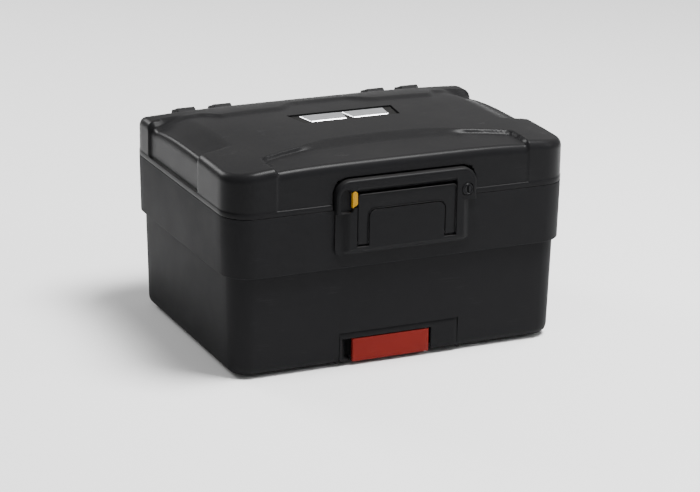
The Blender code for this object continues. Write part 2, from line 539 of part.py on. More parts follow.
def build_lid_shell(mats):
    xs, ys, hw, hd, r = lid_grid()
    edge = [math.radians(a) for a in (0, 22.5, 45, 67.5, 90)]
    # rows: front corner arcs, the relief rows, rear corner arcs; columns: left edge, xs, right edge
    bm = bmesh.new()
    rows = []
    for a in edge[:-1]:
        rows.append((-hd + r - r * math.cos(a), hw - r + r * math.sin(a), None))
    rows.append((-hd + r, hw, None))
    for k in range(ys.shape[1]):
        rows.append((None, hw, k))
    rows.append((hd - r, hw, None))
    for a in edge[:-1][::-1]:
        rows.append((hd - r + r * math.cos(a), hw - r + r * math.sin(a), None))
    grid = []
    for i, (y, w, k) in enumerate(rows):
        line = []
        cols = np.concatenate([[-w], xs * min(1.0, w / hw), [w]])
        for j, x in enumerate(cols):
            if k is None:
                yy = y
            else:
                c = min(max(j - 1, 0), len(xs) - 1)
                yy = float(ys[c, k])
                yy = min(max(yy, -hd + r + 0.6 * (k + 1)), hd - r - 0.6 * (ys.shape[1] - k))
            line.append((x, yy))
        grid.append(line)
    for j in range(len(grid[0])):                      # keep every column's rows in order
        for i in range(1, len(grid)):
            if grid[i][j][1] <= grid[i - 1][j][1] + 0.5:
                grid[i][j] = (grid[i][j][0], grid[i - 1][j][1] + 0.5)
    for i, line in enumerate(grid):
        z = lid_height(np.array([p[0] for p in line]), np.array([p[1] for p in line]))
        rows[i] = [bm.verts.new((p[0], p[1], float(h))) for p, h in zip(line, z)]
    for a, b in zip(rows, rows[1:]):
        for j in range(len(a) - 1):
            bm.faces.new((a[j], a[j + 1], b[j + 1], b[j]))
    n = len(rows[0])
    rim = [rows[0][j] for j in range(n)] + [row[-1] for row in rows[1:]] \
        + [rows[-1][j] for j in range(n - 2, -1, -1)] + [row[0] for row in rows[-2:0:-1]]
    pts = [v.co.copy() for v in rim]
    cx, cy = hw - r, hd - r

    def pushed(p, d):
        """A rim point moved outward by d in plan."""
        dx = p.x - max(-cx, min(cx, p.x))
        dy = p.y - max(-cy, min(cy, p.y))
        if abs(dx) < 1e-6 and abs(dy) < 1e-6:
            dy = math.copysign(1.0, p.y)
        length = math.hypot(dx, dy)
        return p.x + d * dx / length, p.y + d * dy / length

    def ring(d, height):
        return [bm.verts.new((*pushed(p, d), height(p))) for p in pts]

    lip = SEAM_Z + GAP
    loops = [rim,
             ring(LID_IN - 4.0, lambda p: p.z - 1.6),
             ring(LID_IN - 1.4, lambda p: p.z - 5.0),
             ring(LID_IN - 0.6, lambda p: p.z - 11.0),
             ring(LID_IN - 0.4, lambda p: lip + 7.0),
             ring(LID_IN + 0.0, lambda p: lip + 5.5),
             ring(LID_IN + 0.0, lambda p: lip),
             ring(LID_IN - LID_WALL - 0.6, lambda p: lip),
             ring(LID_IN - LID_WALL - 0.8, lambda p: p.z - 14.0),
             ring(LID_IN - LID_WALL - 5.0, lambda p: float(dome(p.x, p.y)) - 11.5)]
    for a, b in zip(loops, loops[1:]):
        for i in range(len(a)):
            j = (i + 1) % len(a)
            bm.faces.new((a[i], a[j], b[j], b[i]))
    last = loops[-1]
    for shrink in (0.8, 0.45):
        nxt = []
        for v in loops[-1]:
            x, y = v.co.x * shrink, v.co.y * shrink
            nxt.append(bm.verts.new((x, y, float(dome(x, y)) - 11.0)))
        for i in range(len(nxt)):
            j = (i + 1) % len(nxt)
            bm.faces.new((last[i], last[j], nxt[j], nxt[i]))
        last = nxt
    bm.faces.new(last)
    return add_object("lid_shell", bm, mats["case_black"], (0, HINGE_Y, SEAM_Z), smooth=35)


def build_lid(mats):
    black, steel, silver, dark = mats["case_black"], mats["zinc_steel"], mats["badge_silver"], mats["inner_black"]
    pivot = (0, HINGE_Y, SEAM_Z)
    lid = build_lid_shell(mats)
    g = NOTCH_GAP
    wall = 3.0
    ax, az = MODULE_X + g, MODULE_Z1 + g
    block = plate(-ax - wall, ax + wall, SEAM_Z + GAP, az + wall, 0.5, 17 + g + wall, 5)
    join(lid, prism(block, 1, FRONT + 2.2, FRONT + ALCOVE_Y + wall))
    cut(lid, prism(plate(-ax, ax, SEAM_Z - 20, az, 0.5, 17 + g, 5), 1, FRONT - 20, FRONT + ALCOVE_Y))

    # badge: a bed let into the top, two plates on it and two end caps
    bx, by0, by1 = 62.0, -13.0, 25.0
    skew = 3.0

    def lozenge(x0, x1, y0, y1):
        return [(x0 + skew, y0), (x1 - skew, y0), (x1 + skew, y1), (x0 - skew, y1)]

    floor = LID_CENTRE - 4.6
    cut(lid, prism(lozenge(-bx, bx, by0, by1), 2, floor, LID_CENTRE + 20))
    bed_top = floor + GAP + 2.4
    add_object("badge_bed", prism(lozenge(-bx + 0.5, bx - 0.5, by0 + 0.5, by1 - 0.5), 2, floor + GAP, bed_top), dark,
               pivot)
    for name, x0, x1 in (("left", -50.0, -2.0), ("right", 2.0, 50.0)):
        add_object(f"badge_plate_{name}", prism(lozenge(x0 + 1, x1 - 1, by0 + 6, by1 - 6), 2, bed_top + GAP,
                                                bed_top + 1.6), silver, pivot)

    # liner: a shallow tray turned upside down inside the lid
    inset = SKIRT_IN - 2.0
    z0 = SEAM_Z + 3.4 + GAP
    top = min(float(dome(HALF_W - inset, HALF_D - inset)), float(dome(0, HALF_D - inset))) - 16.0
    add_object("lid_liner", case_loft([(inset + 9, top), (inset, top - 7), (inset, z0), (inset + 2, z0),
                                       (inset + 2, top - 8), (inset + 10, top - 2)]), dark, pivot, smooth=40)

    # hinge leaves: a plate on the rear wall, two ribs over the top edge, two knuckles
    for name, s in (("left", -1), ("right", 1)):
        x0, x1 = RIB_X[0] - RIB_W / 2, RIB_X[1] + RIB_W / 2
        lo, hi = sorted((s * x0, s * x1))
        edge_z = float(lid_height(np.array([s * 120.0]), np.array([HALF_D - LID_IN]))[0])
        rear = HALF_D + GAP
        z_low = SEAM_Z + 7.5
        leaf = add_object(f"hinge_leaf_{name}", prism(plate(lo + 0.4, hi - 0.4, z_low, edge_z - 14, 1, 3), 1,
                                                      rear + 0.2, rear + 3.8), black, pivot, smooth=35)
        for c in RIB_X:
            lo, hi = sorted((s * (c - RIB_W / 2), s * (c + RIB_W / 2)))
            zc = float(max(lid_height(np.array([lo, s * c, hi]), np.array([HALF_D - LID_IN] * 3))))
            zf = float(max(lid_height(np.array([lo, s * c, hi]), np.array([HALF_D - 20.0] * 3))))
            rib = [(rear, zc - 9.5), (rear, SEAM_Z + 4)] + arc(HINGE_Y, SEAM_Z, HINGE_R, 190, 390, 12) \
                + [(rear + 5.5, z_low + 6), (rear + 5.5, zc - 10), (rear + 2.5, zc - 1), (HALF_D - 7, zc + 4.5),
                   (HALF_D - 19, zf + 3.0), (HALF_D - 20.5, zf + 0.6), (HALF_D - LID_IN, zc + GAP + 0.3),
                   (HALF_D - LID_IN + 4.0, zc - 0.6), (HALF_D - 0.8, zc - 3.4)]
            join(leaf, prism(rib, 0, lo, hi))
        cut(leaf, cylinder(0, HINGE_Y, SEAM_Z, HINGE_PIN_R + GAP, -HALF_W, HALF_W, 20))

    # striker: a ledge on the alcove's back wall, below the hook's nose
    y_wall = FRONT + ALCOVE_Y
    x0, x1 = BUTTON_X0 - 3, BUTTON_X1 + 3
    strike = add_object("striker_plate", box(x0, x1, y_wall - 1.8, y_wall - GAP, 192, 214), steel, pivot)
    join(strike, box(x0, x1, y_wall - 2.2, y_wall - 1, 203.5, 206.5))


# ------------------------------------------------------------------ build
def main():
    for obj in list(bpy.data.objects):
        bpy.data.objects.remove(obj)
    mats = {
        "case_black": material("case_black", (0.028, 0.028, 0.030), 0.48),
        "inner_black": material("inner_black", (0.012, 0.012, 0.013), 0.6),
        "rubber": material("rubber", (0.02, 0.02, 0.02), 0.85),
        "zinc_steel": material("zinc_steel", (0.52, 0.53, 0.55), 0.35, 1.0),
        "release_red": material("release_red", (0.36, 0.035, 0.02), 0.42),
        "button_yellow": material("button_yellow", (0.62, 0.36, 0.03), 0.4),
        "badge_silver": material("badge_silver", (0.72, 0.73, 0.75), 0.28, 1.0),
        "lever_grey": material("lever_grey", (0.16, 0.16, 0.17), 0.55),
    }
    build_base(mats)
    build_release(mats)
    build_upper(mats)
    build_movers(mats)
    build_lid(mats)
    for mesh in bpy.data.meshes:
        if not mesh.users:
            bpy.data.meshes.remove(mesh)


main()
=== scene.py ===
# %% [markdown]
# # A hard top case for a motorcycle rack
# The case is a drafted tub, an upper shell that slides over it like a sleeve, and a hinged lid.  A latch
# module with a fold-out carry handle stands out of the front, and a red lever at the bottom frees the
# case from its rack.  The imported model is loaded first: it fixes every size, place and joint.  What
# follows puts fine surfaces and real finishes round it.

# %% Load the frame
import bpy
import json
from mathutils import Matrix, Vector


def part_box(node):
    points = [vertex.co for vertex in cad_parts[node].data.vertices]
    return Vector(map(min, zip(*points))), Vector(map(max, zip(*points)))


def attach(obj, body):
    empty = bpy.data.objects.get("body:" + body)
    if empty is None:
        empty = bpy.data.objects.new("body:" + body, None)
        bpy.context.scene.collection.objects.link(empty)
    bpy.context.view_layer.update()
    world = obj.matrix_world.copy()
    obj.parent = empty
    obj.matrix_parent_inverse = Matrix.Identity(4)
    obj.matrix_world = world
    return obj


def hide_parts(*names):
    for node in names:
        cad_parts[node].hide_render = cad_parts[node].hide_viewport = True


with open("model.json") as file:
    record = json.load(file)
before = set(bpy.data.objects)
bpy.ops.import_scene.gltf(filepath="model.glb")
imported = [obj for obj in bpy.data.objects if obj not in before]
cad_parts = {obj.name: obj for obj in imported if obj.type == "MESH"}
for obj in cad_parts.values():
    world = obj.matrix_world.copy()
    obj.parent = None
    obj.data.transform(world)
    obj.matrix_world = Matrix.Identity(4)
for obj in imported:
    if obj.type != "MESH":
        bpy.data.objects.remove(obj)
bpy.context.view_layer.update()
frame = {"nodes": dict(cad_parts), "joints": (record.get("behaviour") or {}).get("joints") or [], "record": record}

import json
import math

import bmesh
import bpy
import numpy as np
from mathutils import Matrix, Vector

MM = 0.001


def mm_box(node):
    """Lowest and highest corner of a CAD node, in millimetres."""
    low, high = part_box(node)
    return np.array(low) / MM, np.array(high) / MM


# %% [markdown]
# ## Camera
# The view is from the front left and a little above, through a long lens, so that the upright edges stay
# almost parallel.  The camera is built from three numbers that a photographer would name (how far round,
# how far up, how far away) and the matrix is filled in directly, which keeps the small roll exact.

# %% Camera
AZIMUTH, ELEVATION, ROLL = math.radians(24.52), math.radians(17.47), math.radians(0.85)
DISTANCE, TARGET = 2.908, Vector((0.0, 0.0, 0.123))
back = Vector((-math.sin(AZIMUTH) * math.cos(ELEVATION), -math.cos(AZIMUTH) * math.cos(ELEVATION),
               math.sin(ELEVATION)))
right = Vector((0, 0, 1)).cross(back).normalized()
up = back.cross(right)
side = right * math.cos(ROLL) + up * math.sin(ROLL)
camera_data = bpy.data.cameras.new("camera")
camera_data.lens = 130.7
camera_data.sensor_width = 36.0
camera_data.shift_x, camera_data.shift_y = 0.0052, -0.0420
camera_data.clip_end = 50.0
camera = bpy.data.objects.new("camera", camera_data)
camera.matrix_world = Matrix.Translation(TARGET + back * DISTANCE) @ \
    Matrix((side, back.cross(side), back)).transposed().to_4x4()
bpy.context.scene.collection.objects.link(camera)
bpy.context.scene.camera = camera
print("camera at", [round(c, 3) for c in camera.location])

# %% [markdown]
# ## Floor and light
# A pale seamless floor, a soft white surround and three large lamps.  Large lamps give black plastic its
# long soft highlights; a small lamp would leave hard spots.  The overhead lamp stands a little to the front
# right, where the rounded front edge of the lid mirrors it.  The back lamp does the same for the left edge.

# %% Studio
def area_light(name, place, aim, size, power):
    """A white square lamp that faces the point it is aimed at; metres and watts."""
    data = bpy.data.lights.new(name, "AREA")
    data.size, data.energy = size, power
    lamp = bpy.data.objects.new(name, data)
    lamp.location = place
    lamp.rotation_euler = (Vector(place) - Vector(aim)).to_track_quat("Z", "Y").to_euler()
    bpy.context.scene.collection.objects.link(lamp)
    print(name, "at", place, "with", power, "W")


area_light("overhead_lamp", (0.7, -0.6, 2.7), (0, 0, 0.0), 1.1, 230)
area_light("back_lamp", (-1.1, 2.1, 1.3), (0, 0, 0.1), 0.9, 40)
area_light("front_fill", (2.6, -1.8, 1.6), (0, 0, 0.1), 0.9, 24)
world = bpy.data.worlds.new("surround")
world.use_nodes = True
world.node_tree.nodes["Background"].inputs["Color"].default_value = (1, 1, 1, 1)
world.node_tree.nodes["Background"].inputs["Strength"].default_value = 0.36
bpy.context.scene.world = world

# %% [markdown]
# ## Finishes
# Effects that several finishes share are node groups: the fine grain of a moulded surface, dust that
# settles on what faces up, and rubbed marks.  Each group puts out masks and heights only.  The shader
# stays in the material, so its own sockets can be read and changed there.

# %% Node helpers
def new_group(name, inputs, outputs):
    """An empty shader node group with number sockets; inputs come with their default values."""
    group = bpy.data.node_groups.new(name, "ShaderNodeTree")
    for label, value in inputs:
        socket = group.interface.new_socket(label, in_out="INPUT", socket_type="NodeSocketFloat")
        socket.default_value = value
    for label in outputs:
        group.interface.new_socket(label, in_out="OUTPUT", socket_type="NodeSocketFloat")
    return group, group.nodes.new("NodeGroupInput"), group.nodes.new("NodeGroupOutput")


def math_node(tree, operation, a, b=None, clamp=False):
    """One Math node; a and b are sockets or numbers."""
    node = tree.nodes.new("ShaderNodeMath")
    node.operation, node.use_clamp = operation, clamp
    for i, value in enumerate((a, b)):
        if value is None:
            continue
        if hasattr(value, "default_value"):
            tree.links.new(value, node.inputs[i])
        else:
            node.inputs[i].default_value = value
    return node.outputs[0]


def noise(tree, coords, scale, detail=3.0, rough=0.5):
    """A Noise texture's value on the given coordinates."""
    node = tree.nodes.new("ShaderNodeTexNoise")
    tree.links.new(coords, node.inputs["Vector"])
    if hasattr(scale, "default_value"):
        tree.links.new(scale, node.inputs["Scale"])
    else:
        node.inputs["Scale"].default_value = scale
    node.inputs["Detail"].default_value = detail
    node.inputs["Roughness"].default_value = rough
    return node.outputs["Fac"]


def object_coords(tree, stretch=(1, 1, 1)):
    """Object coordinates in metres, stretched along each axis."""
    coords = tree.nodes.new("ShaderNodeTexCoord")
    mapping = tree.nodes.new("ShaderNodeMapping")
    mapping.inputs["Scale"].default_value = stretch
    tree.links.new(coords.outputs["Object"], mapping.inputs["Vector"])
    return mapping.outputs["Vector"]


# %% [markdown]
# The grain is small rounded pips with fine noise between them, as a spark-eroded mould leaves it.  A smooth
# Voronoi texture gives the pips; its distance is turned over so that each cell's middle stands up.

# %% Moulded grain
GRAIN, g_in, g_out = new_group("moulded_grain", [("Pips per metre", 900.0), ("Fine share", 0.35)],
                               ["Height", "Mottle"])
coords = object_coords(GRAIN)
pips = GRAIN.nodes.new("ShaderNodeTexVoronoi")
pips.feature = "SMOOTH_F1"
GRAIN.links.new(coords, pips.inputs["Vector"])
GRAIN.links.new(g_in.outputs["Pips per metre"], pips.inputs["Scale"])
fine = noise(GRAIN, coords, math_node(GRAIN, "MULTIPLY", g_in.outputs["Pips per metre"], 2.3), 2.0)
share = math_node(GRAIN, "MULTIPLY", fine, g_in.outputs["Fine share"])
height = math_node(GRAIN, "ADD", math_node(GRAIN, "SUBTRACT", 1.0, pips.outputs["Distance"]), share)
GRAIN.links.new(height, g_out.inputs["Height"])
GRAIN.links.new(noise(GRAIN, coords, 22.0, 4.0, 0.55), g_out.inputs["Mottle"])

# %% [markdown]
# Dust settles only where the surface faces up, so its mask is the upward part of the normal to a high power,
# broken into patches by a coarse noise and into specks by a fine one.

# %% Settled dust
DUST, d_in, d_out = new_group("settled_dust", [("Amount", 0.3)], ["Mask"])
coords = object_coords(DUST)
geometry = DUST.nodes.new("ShaderNodeNewGeometry")
split = DUST.nodes.new("ShaderNodeSeparateXYZ")
DUST.links.new(geometry.outputs["Normal"], split.inputs["Vector"])
facing = math_node(DUST, "POWER", math_node(DUST, "MAXIMUM", split.outputs["Z"], 0.0), 3.0)
patch = math_node(DUST, "MULTIPLY", noise(DUST, coords, 9.0, 5.0, 0.6), noise(DUST, coords, 420.0, 2.0))
dusty = math_node(DUST, "MULTIPLY", facing, patch)
DUST.links.new(math_node(DUST, "MULTIPLY", dusty, d_in.outputs["Amount"], clamp=True), d_out.inputs["Mask"])

# %% [markdown]
# Rubbed marks are a noise stretched into long thin streaks, cut off so that only its peaks show.

# %% Rubbed marks
RUBS, r_in, r_out = new_group("rubbed_marks", [("Coverage", 0.3)], ["Mask"])
marks = math_node(RUBS, "MULTIPLY", noise(RUBS, object_coords(RUBS, (40, 400, 900)), 1.0, 3.0, 0.6),
                  noise(RUBS, object_coords(RUBS, (30, 30, 45)), 1.0, 2.0))
level = math_node(RUBS, "SUBTRACT", 0.42, math_node(RUBS, "MULTIPLY", r_in.outputs["Coverage"], 0.3))
mask = math_node(RUBS, "MULTIPLY", math_node(RUBS, "SUBTRACT", marks, level), 9.0, clamp=True)
RUBS.links.new(mask, r_out.inputs["Mask"])
print("node groups:", [g.name for g in (GRAIN, DUST, RUBS)])

# %% [markdown]
# A finish is one function with a few values a maker would quote: colour, gloss, how coarse the grain is,
# how deep, how much dust and rubbing it has picked up.

# %% Finishes
def finish(name, colour, rough, metal=0.0, pips=900.0, depth=0.00004, mottle=0.12, dust=0.12, rubs=0.2,
           rub_colour=None, specular=0.06, coat=0.0):
    """Moulded or metal finish: mottled colour, grain by bump, dust on top and rubbed marks."""
    mat = bpy.data.materials.new(name)
    mat.use_nodes = True
    tree = mat.node_tree
    bsdf = tree.nodes["Principled BSDF"]
    bsdf.inputs["Metallic"].default_value = metal
    bsdf.inputs["Specular IOR Level"].default_value = specular
    bsdf.inputs["Coat Weight"].default_value = coat
    grain, settled, rubbed = (tree.nodes.new("ShaderNodeGroup") for _ in range(3))
    grain.node_tree, settled.node_tree, rubbed.node_tree = GRAIN, DUST, RUBS
    grain.inputs["Pips per metre"].default_value = pips
    settled.inputs["Amount"].default_value = dust
    rubbed.inputs["Coverage"].default_value = rubs

    def mix(fac, a, b):
        node = tree.nodes.new("ShaderNodeMix")
        node.data_type = "RGBA"
        tree.links.new(fac, node.inputs["Factor"])
        for socket, value in ((node.inputs[6], a), (node.inputs[7], b)):
            if isinstance(value, tuple):
                socket.default_value = (*value, 1.0)
            else:
                tree.links.new(value, socket)
        return node.outputs[2]

    dark = tuple(c * (1 - mottle) for c in colour)
    light = tuple(min(1.0, c * (1 + mottle)) for c in colour)
    worn = rub_colour or tuple(min(1.0, c * 1.5 + 0.006) for c in colour)
    tone = mix(grain.outputs["Mottle"], dark, light)
    tone = mix(math_node(tree, "MULTIPLY", rubbed.outputs["Mask"], 0.35), tone, worn)
    tone = mix(settled.outputs["Mask"], tone, (0.20, 0.19, 0.175))
    tree.links.new(tone, bsdf.inputs["Base Color"])
    gloss = math_node(tree, "ADD", math_node(tree, "MULTIPLY", grain.outputs["Mottle"], 0.16), rough - 0.08)
    gloss = math_node(tree, "ADD", gloss, math_node(tree, "MULTIPLY", rubbed.outputs["Mask"], -0.08))
    dull = math_node(tree, "MULTIPLY", settled.outputs["Mask"], 0.3)
    gloss = math_node(tree, "ADD", gloss, dull, clamp=True)
    tree.links.new(gloss, bsdf.inputs["Roughness"])
    bump = tree.nodes.new("ShaderNodeBump")
    bump.inputs["Strength"].default_value = 0.7
    bump.inputs["Distance"].default_value = depth
    tree.links.new(grain.outputs["Height"], bump.inputs["Height"])
    tree.links.new(bump.outputs["Normal"], bsdf.inputs["Normal"])
    return mat


SHELL_BLACK = finish("shell_black", (0.0085, 0.0085, 0.0092), 0.56, pips=1100, depth=0.00005, dust=0.16,
                     rubs=0.15)
LID_BLACK = finish("lid_black", (0.0080, 0.0080, 0.0086), 0.34, pips=1100, dust=0.07)
MODULE_BLACK = finish("module_black", (0.0072, 0.0072, 0.0078), 0.42, pips=1300)
HANDLE_BLACK = finish("handle_black", (0.0078, 0.0078, 0.0084), 0.36, pips=1500, depth=0.00003, dust=0.1,
                      rubs=0.35)
DEEP_BLACK = finish("inner_black", (0.005, 0.005, 0.0054), 0.55, pips=700, depth=0.00006, dust=0.12, rubs=0.1)
RUBBER = finish("rubber_black", (0.010, 0.010, 0.010), 0.78, pips=600, depth=0.00006, dust=0.4, rubs=0.05)
LOCK_BLACK = finish("lock_black", (0.009, 0.009, 0.010), 0.40, pips=1800, depth=0.00002, dust=0.05, rubs=0.3,
                    coat=0.05)
LEVER_RED = finish("lever_red", (0.135, 0.0100, 0.0075), 0.38, pips=1300, depth=0.00003, dust=0.1, rubs=0.3)
BUTTON_YELLOW = finish("button_yellow", (0.35, 0.18, 0.007), 0.40, pips=1500, depth=0.00002, dust=0.1,
                       rubs=0.3)
BADGE_SILVER = finish("badge_silver", (0.70, 0.71, 0.73), 0.34, 0.9, pips=2500, depth=0.000015, mottle=0.05,
                      dust=0.15, rubs=0.3, rub_colour=(0.5, 0.5, 0.5), specular=0.5)
ZINC = finish("zinc_steel", (0.50, 0.51, 0.53), 0.36, 1.0, pips=500, depth=0.00002, mottle=0.18, dust=0.1,
              rubs=0.5, rub_colour=(0.62, 0.62, 0.63), specular=0.5)
GREY_PLASTIC = finish("lever_grey", (0.13, 0.13, 0.14), 0.48, pips=1200, depth=0.00003, dust=0.1, rubs=0.3)
FINISHES = {"case_black": SHELL_BLACK, "inner_black": DEEP_BLACK, "rubber": RUBBER, "zinc_steel": ZINC,
            "release_red": LEVER_RED, "button_yellow": BUTTON_YELLOW, "badge_silver": BADGE_SILVER,
            "lever_grey": GREY_PLASTIC}
for row in frame["record"]["subparts"]:
    node = frame["nodes"][row["node"]]
    node.data.materials.clear()
    node.data.materials.append(FINISHES[row["material_slot"]])
print("finishes:", len(FINISHES), "slots,", len(frame["nodes"]), "nodes dressed")

# %% [markdown]
# ## Surfaces from arrays
# Every new piece is a sheet of points worked out at once with numpy. `graded` spaces grid lines, close
# together where an edge needs them. `sheet_faces` names the four corners of every cell.

# %% Grids and pieces
WELD = 0.000004   # metres: points closer than this become one


def graded(low, high, step, edges=(), fine=0.35, reach=1.4):
    """Grid positions from low to high: one every step, and one every fine within reach of each edge."""
    parts = [np.linspace(low, high, max(2, int(round((high - low) / step)) + 1))]
    for e in edges:
        parts.append(np.arange(e - reach, e + reach + 1e-6, fine))
    line = np.unique(np.round(np.concatenate(parts), 3))
    line = line[(line >= low) & (line <= high)]
    keep = np.concatenate([[True], np.diff(line) > fine * 0.45])
    keep[-1] = True
    if keep[-2] and line[-1] - line[-2] < fine * 0.45:
        keep[-2] = False
    return line[keep]


def sheet_faces(rows, columns, wrap_rows=False, wrap_columns=False):
    """Quads of a grid whose point (i, j) is number i * columns + j."""
    i = np.arange(rows if wrap_rows else rows - 1)[:, None]
    j = np.arange(columns if wrap_columns else columns - 1)[None, :]
    i2, j2 = (i + 1) % rows, (j + 1) % columns
    quads = np.stack([i * columns + j, i * columns + j2, i2 * columns + j2, i2 * columns + j], axis=-1)
    return quads.reshape(-1, 4)


def ring_sheet(rings, wrap_rows=False):
    """A stack of closed rings as a sheet, ready for make_piece."""
    return rings, sheet_faces(*rings.shape[:2], wrap_rows, True)


def make_piece(name, sheets, mat, body, nodes=(), sharp=32, caps=()):
    points, faces, start = [], [], 0
    for p, f in sheets:
        points.append(np.asarray(p, float).reshape(-1, 3))
        faces.append(np.asarray(f) + start)
        start += len(points[-1])
    mesh = bpy.data.meshes.new(name)
    mesh.from_pydata((np.concatenate(points) * MM).tolist(), [],
                     np.concatenate(faces).tolist() + [list(map(int, c)) for c in caps])
    bm = bmesh.new()
    bm.from_mesh(mesh)
    bmesh.ops.remove_doubles(bm, verts=bm.verts, dist=WELD)
    bmesh.ops.dissolve_degenerate(bm, edges=bm.edges, dist=WELD / 8)
    bmesh.ops.recalc_face_normals(bm, faces=bm.faces)
    if bm.calc_volume(signed=True) < 0:
        bmesh.ops.reverse_faces(bm, faces=bm.faces)
    open_edges = sum(1 for e in bm.edges if not e.is_manifold)
    bm.to_mesh(mesh)
    bm.free()
    mesh.materials.append(mat)
    mesh.shade_smooth()
    mesh.set_sharp_from_angle(angle=math.radians(sharp))
    piece = bpy.data.objects.new(name, mesh)
    bpy.context.scene.collection.objects.link(piece)
    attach(piece, body)
    if nodes:
        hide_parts(*nodes)
    print(f"{name}: {len(mesh.polygons)} faces, {open_edges} open edges")
    return piece


print("grids and pieces ready")

# %% [markdown]
# Relief is written as distances.  `rounded_box` gives the signed distance to a rounded rectangle, `pressed`
# turns a distance into a pocket with soft walls, and `rounding` turns it into a rounded edge.

# %% Relief from distances
def smooth_step(t, a, b):
    """0 before a, 1 after b and a cubic ease between."""
    s = np.clip((t - a) / (b - a), 0.0, 1.0)
    return s * s * (3.0 - 2.0 * s)


def rounded_box(x, z, x0, x1, z0, z1, r_low, r_high=None):
    """Signed distance to a rectangle with rounded corners: negative inside."""
    cx, cz = (x0 + x1) / 2, (z0 + z1) / 2
    r = np.where(z > cz, r_low if r_high is None else r_high, r_low)
    qx, qz = np.abs(x - cx) - (x1 - x0) / 2 + r, np.abs(z - cz) - (z1 - z0) / 2 + r
    return np.hypot(np.maximum(qx, 0), np.maximum(qz, 0)) + np.minimum(np.maximum(qx, qz), 0) - r


def pressed(distance, depth, soft=0.45):
    """A pocket: full depth inside the outline, nothing outside, a wall 2 * soft wide between."""
    return depth * (1.0 - smooth_step(distance, -soft, soft))


def rounding(distance, radius):
    """How far a rounded edge falls away: a quarter circle within radius of the outline."""
    t = np.clip(-distance, 0.0, radius)
    return radius - np.sqrt(np.maximum(radius ** 2 - (radius - t) ** 2, 0.0))


print("a 4 mm pocket, 1 mm inside its outline, is", float(pressed(-1.0, 4.0)), "mm deep")

# %% [markdown]
# Solids come from the same sheets.  `two_faced` closes a plate between two height fields, `prism` carries an
# outline straight, and `turned` spins a profile.

# %% Plates, prisms and turned shapes
def two_faced(x, z, front, rear, keep=None):
    """A plate over one grid of x and z: a front face, a rear face and walls wherever kept cells end."""
    rows, cols = x.shape
    if keep is None:
        keep = np.ones((rows - 1, cols - 1), bool)
    points = np.concatenate([np.stack([x, y, z], -1).reshape(-1, 3) for y in (front, rear)])
    n = rows * cols
    cells = sheet_faces(rows, cols)[keep.reshape(-1)]
    pad = np.pad(keep, 1)
    number = np.arange(n).reshape(rows, cols)
    i, j = np.nonzero(pad[1:-1, 1:] != pad[1:-1, :-1])    # walls between neighbours in a row
    above = number[i + 1, j]
    walls = [np.stack([number[i, j], above, above + n, number[i, j] + n], -1)]
    i, j = np.nonzero(pad[1:, 1:-1] != pad[:-1, 1:-1])    # walls between neighbours in a column
    ahead = number[i, j + 1]
    walls.append(np.stack([number[i, j], ahead, ahead + n, number[i, j] + n], -1))
    return points, np.concatenate([cells, cells[:, ::-1] + n] + walls)


def prism(outline, axis, low, high):
    """A flat outline carried straight along an axis, with both ends closed."""
    outline = np.asarray(outline, float)
    ends = [np.insert(outline, axis, t, axis=1) for t in (low, high)]
    n = len(outline)
    caps = (list(range(n)), list(range(n, 2 * n)))
    return (np.concatenate(ends), sheet_faces(2, n, wrap_columns=True)), caps


def arc(cx, cy, r, a0, a1, n):
    """n + 1 points on an arc, angles in degrees."""
    a = np.radians(np.linspace(a0, a1, n + 1))
    return np.stack([cx + r * np.cos(a), cy + r * np.sin(a)], -1)


def turned(profile, axis, centre, n=48):
    """A profile of (radius, position) pairs turned round an axis through centre."""
    profile = np.asarray(profile, float)
    a = np.linspace(0, 2 * math.pi, n, endpoint=False)
    u = centre[0] + profile[:, :1] * np.cos(a)
    v = centre[1] + profile[:, :1] * np.sin(a)
    t = np.repeat(profile[:, 1:], n, axis=1)
    order = {0: (t, u, v), 1: (u, t, v), 2: (u, v, t)}[axis]
    return np.stack(order, -1), sheet_faces(len(profile), n, wrap_columns=True)


def block(x0, x1, y0, y1, z0, z1):
    """A plain box as a cutter or a blank."""
    return prism([(x0, y0), (x1, y0), (x1, y1), (x0, y1)], 2, z0, z1)


def two_faced_up(x, y, upper, lower):
    """The same plate as two_faced, lying flat: its faces look up and down."""
    points, faces = two_faced(x, y, upper, lower)
    return points[:, [0, 2, 1]], faces


print("a box has", len(block(0, 1, 0, 1, 0, 1)[0][0]), "corners")

# %% [markdown]
# What has square corners is simplest as a Boolean.  `carve` applies it at once and shades the result again.
# `bevelled` rounds sharp edges with a modifier that stays live.

# %% Cutting and rounding
def carve(piece, sheet, caps, operation="DIFFERENCE", sharp=32):
    """Cut a closed shape out of a piece, or join it on, with an exact Boolean."""
    points, faces = sheet
    mesh = bpy.data.meshes.new("cutter")
    mesh.from_pydata((np.asarray(points).reshape(-1, 3) * MM).tolist(), [],
                     np.asarray(faces).tolist() + [list(map(int, c)) for c in caps])
    bm = bmesh.new()
    bm.from_mesh(mesh)
    bmesh.ops.recalc_face_normals(bm, faces=bm.faces)
    bm.to_mesh(mesh)
    bm.free()
    cutter = bpy.data.objects.new("cutter", mesh)
    bpy.context.scene.collection.objects.link(cutter)
    mod = piece.modifiers.new("cut", "BOOLEAN")
    mod.object, mod.operation, mod.solver = cutter, operation, "EXACT"
    bpy.context.view_layer.update()
    done = bpy.data.meshes.new_from_object(piece.evaluated_get(bpy.context.evaluated_depsgraph_get()))
    piece.modifiers.clear()
    coats = list(piece.data.materials)
    done.materials.clear()
    for coat in coats:
        done.materials.append(coat)
    done.shade_smooth()
    done.set_sharp_from_angle(angle=math.radians(sharp))
    piece.data = done
    bpy.data.objects.remove(cutter)
    print(f"{piece.name}: {operation.lower()} leaves {len(done.polygons)} faces")


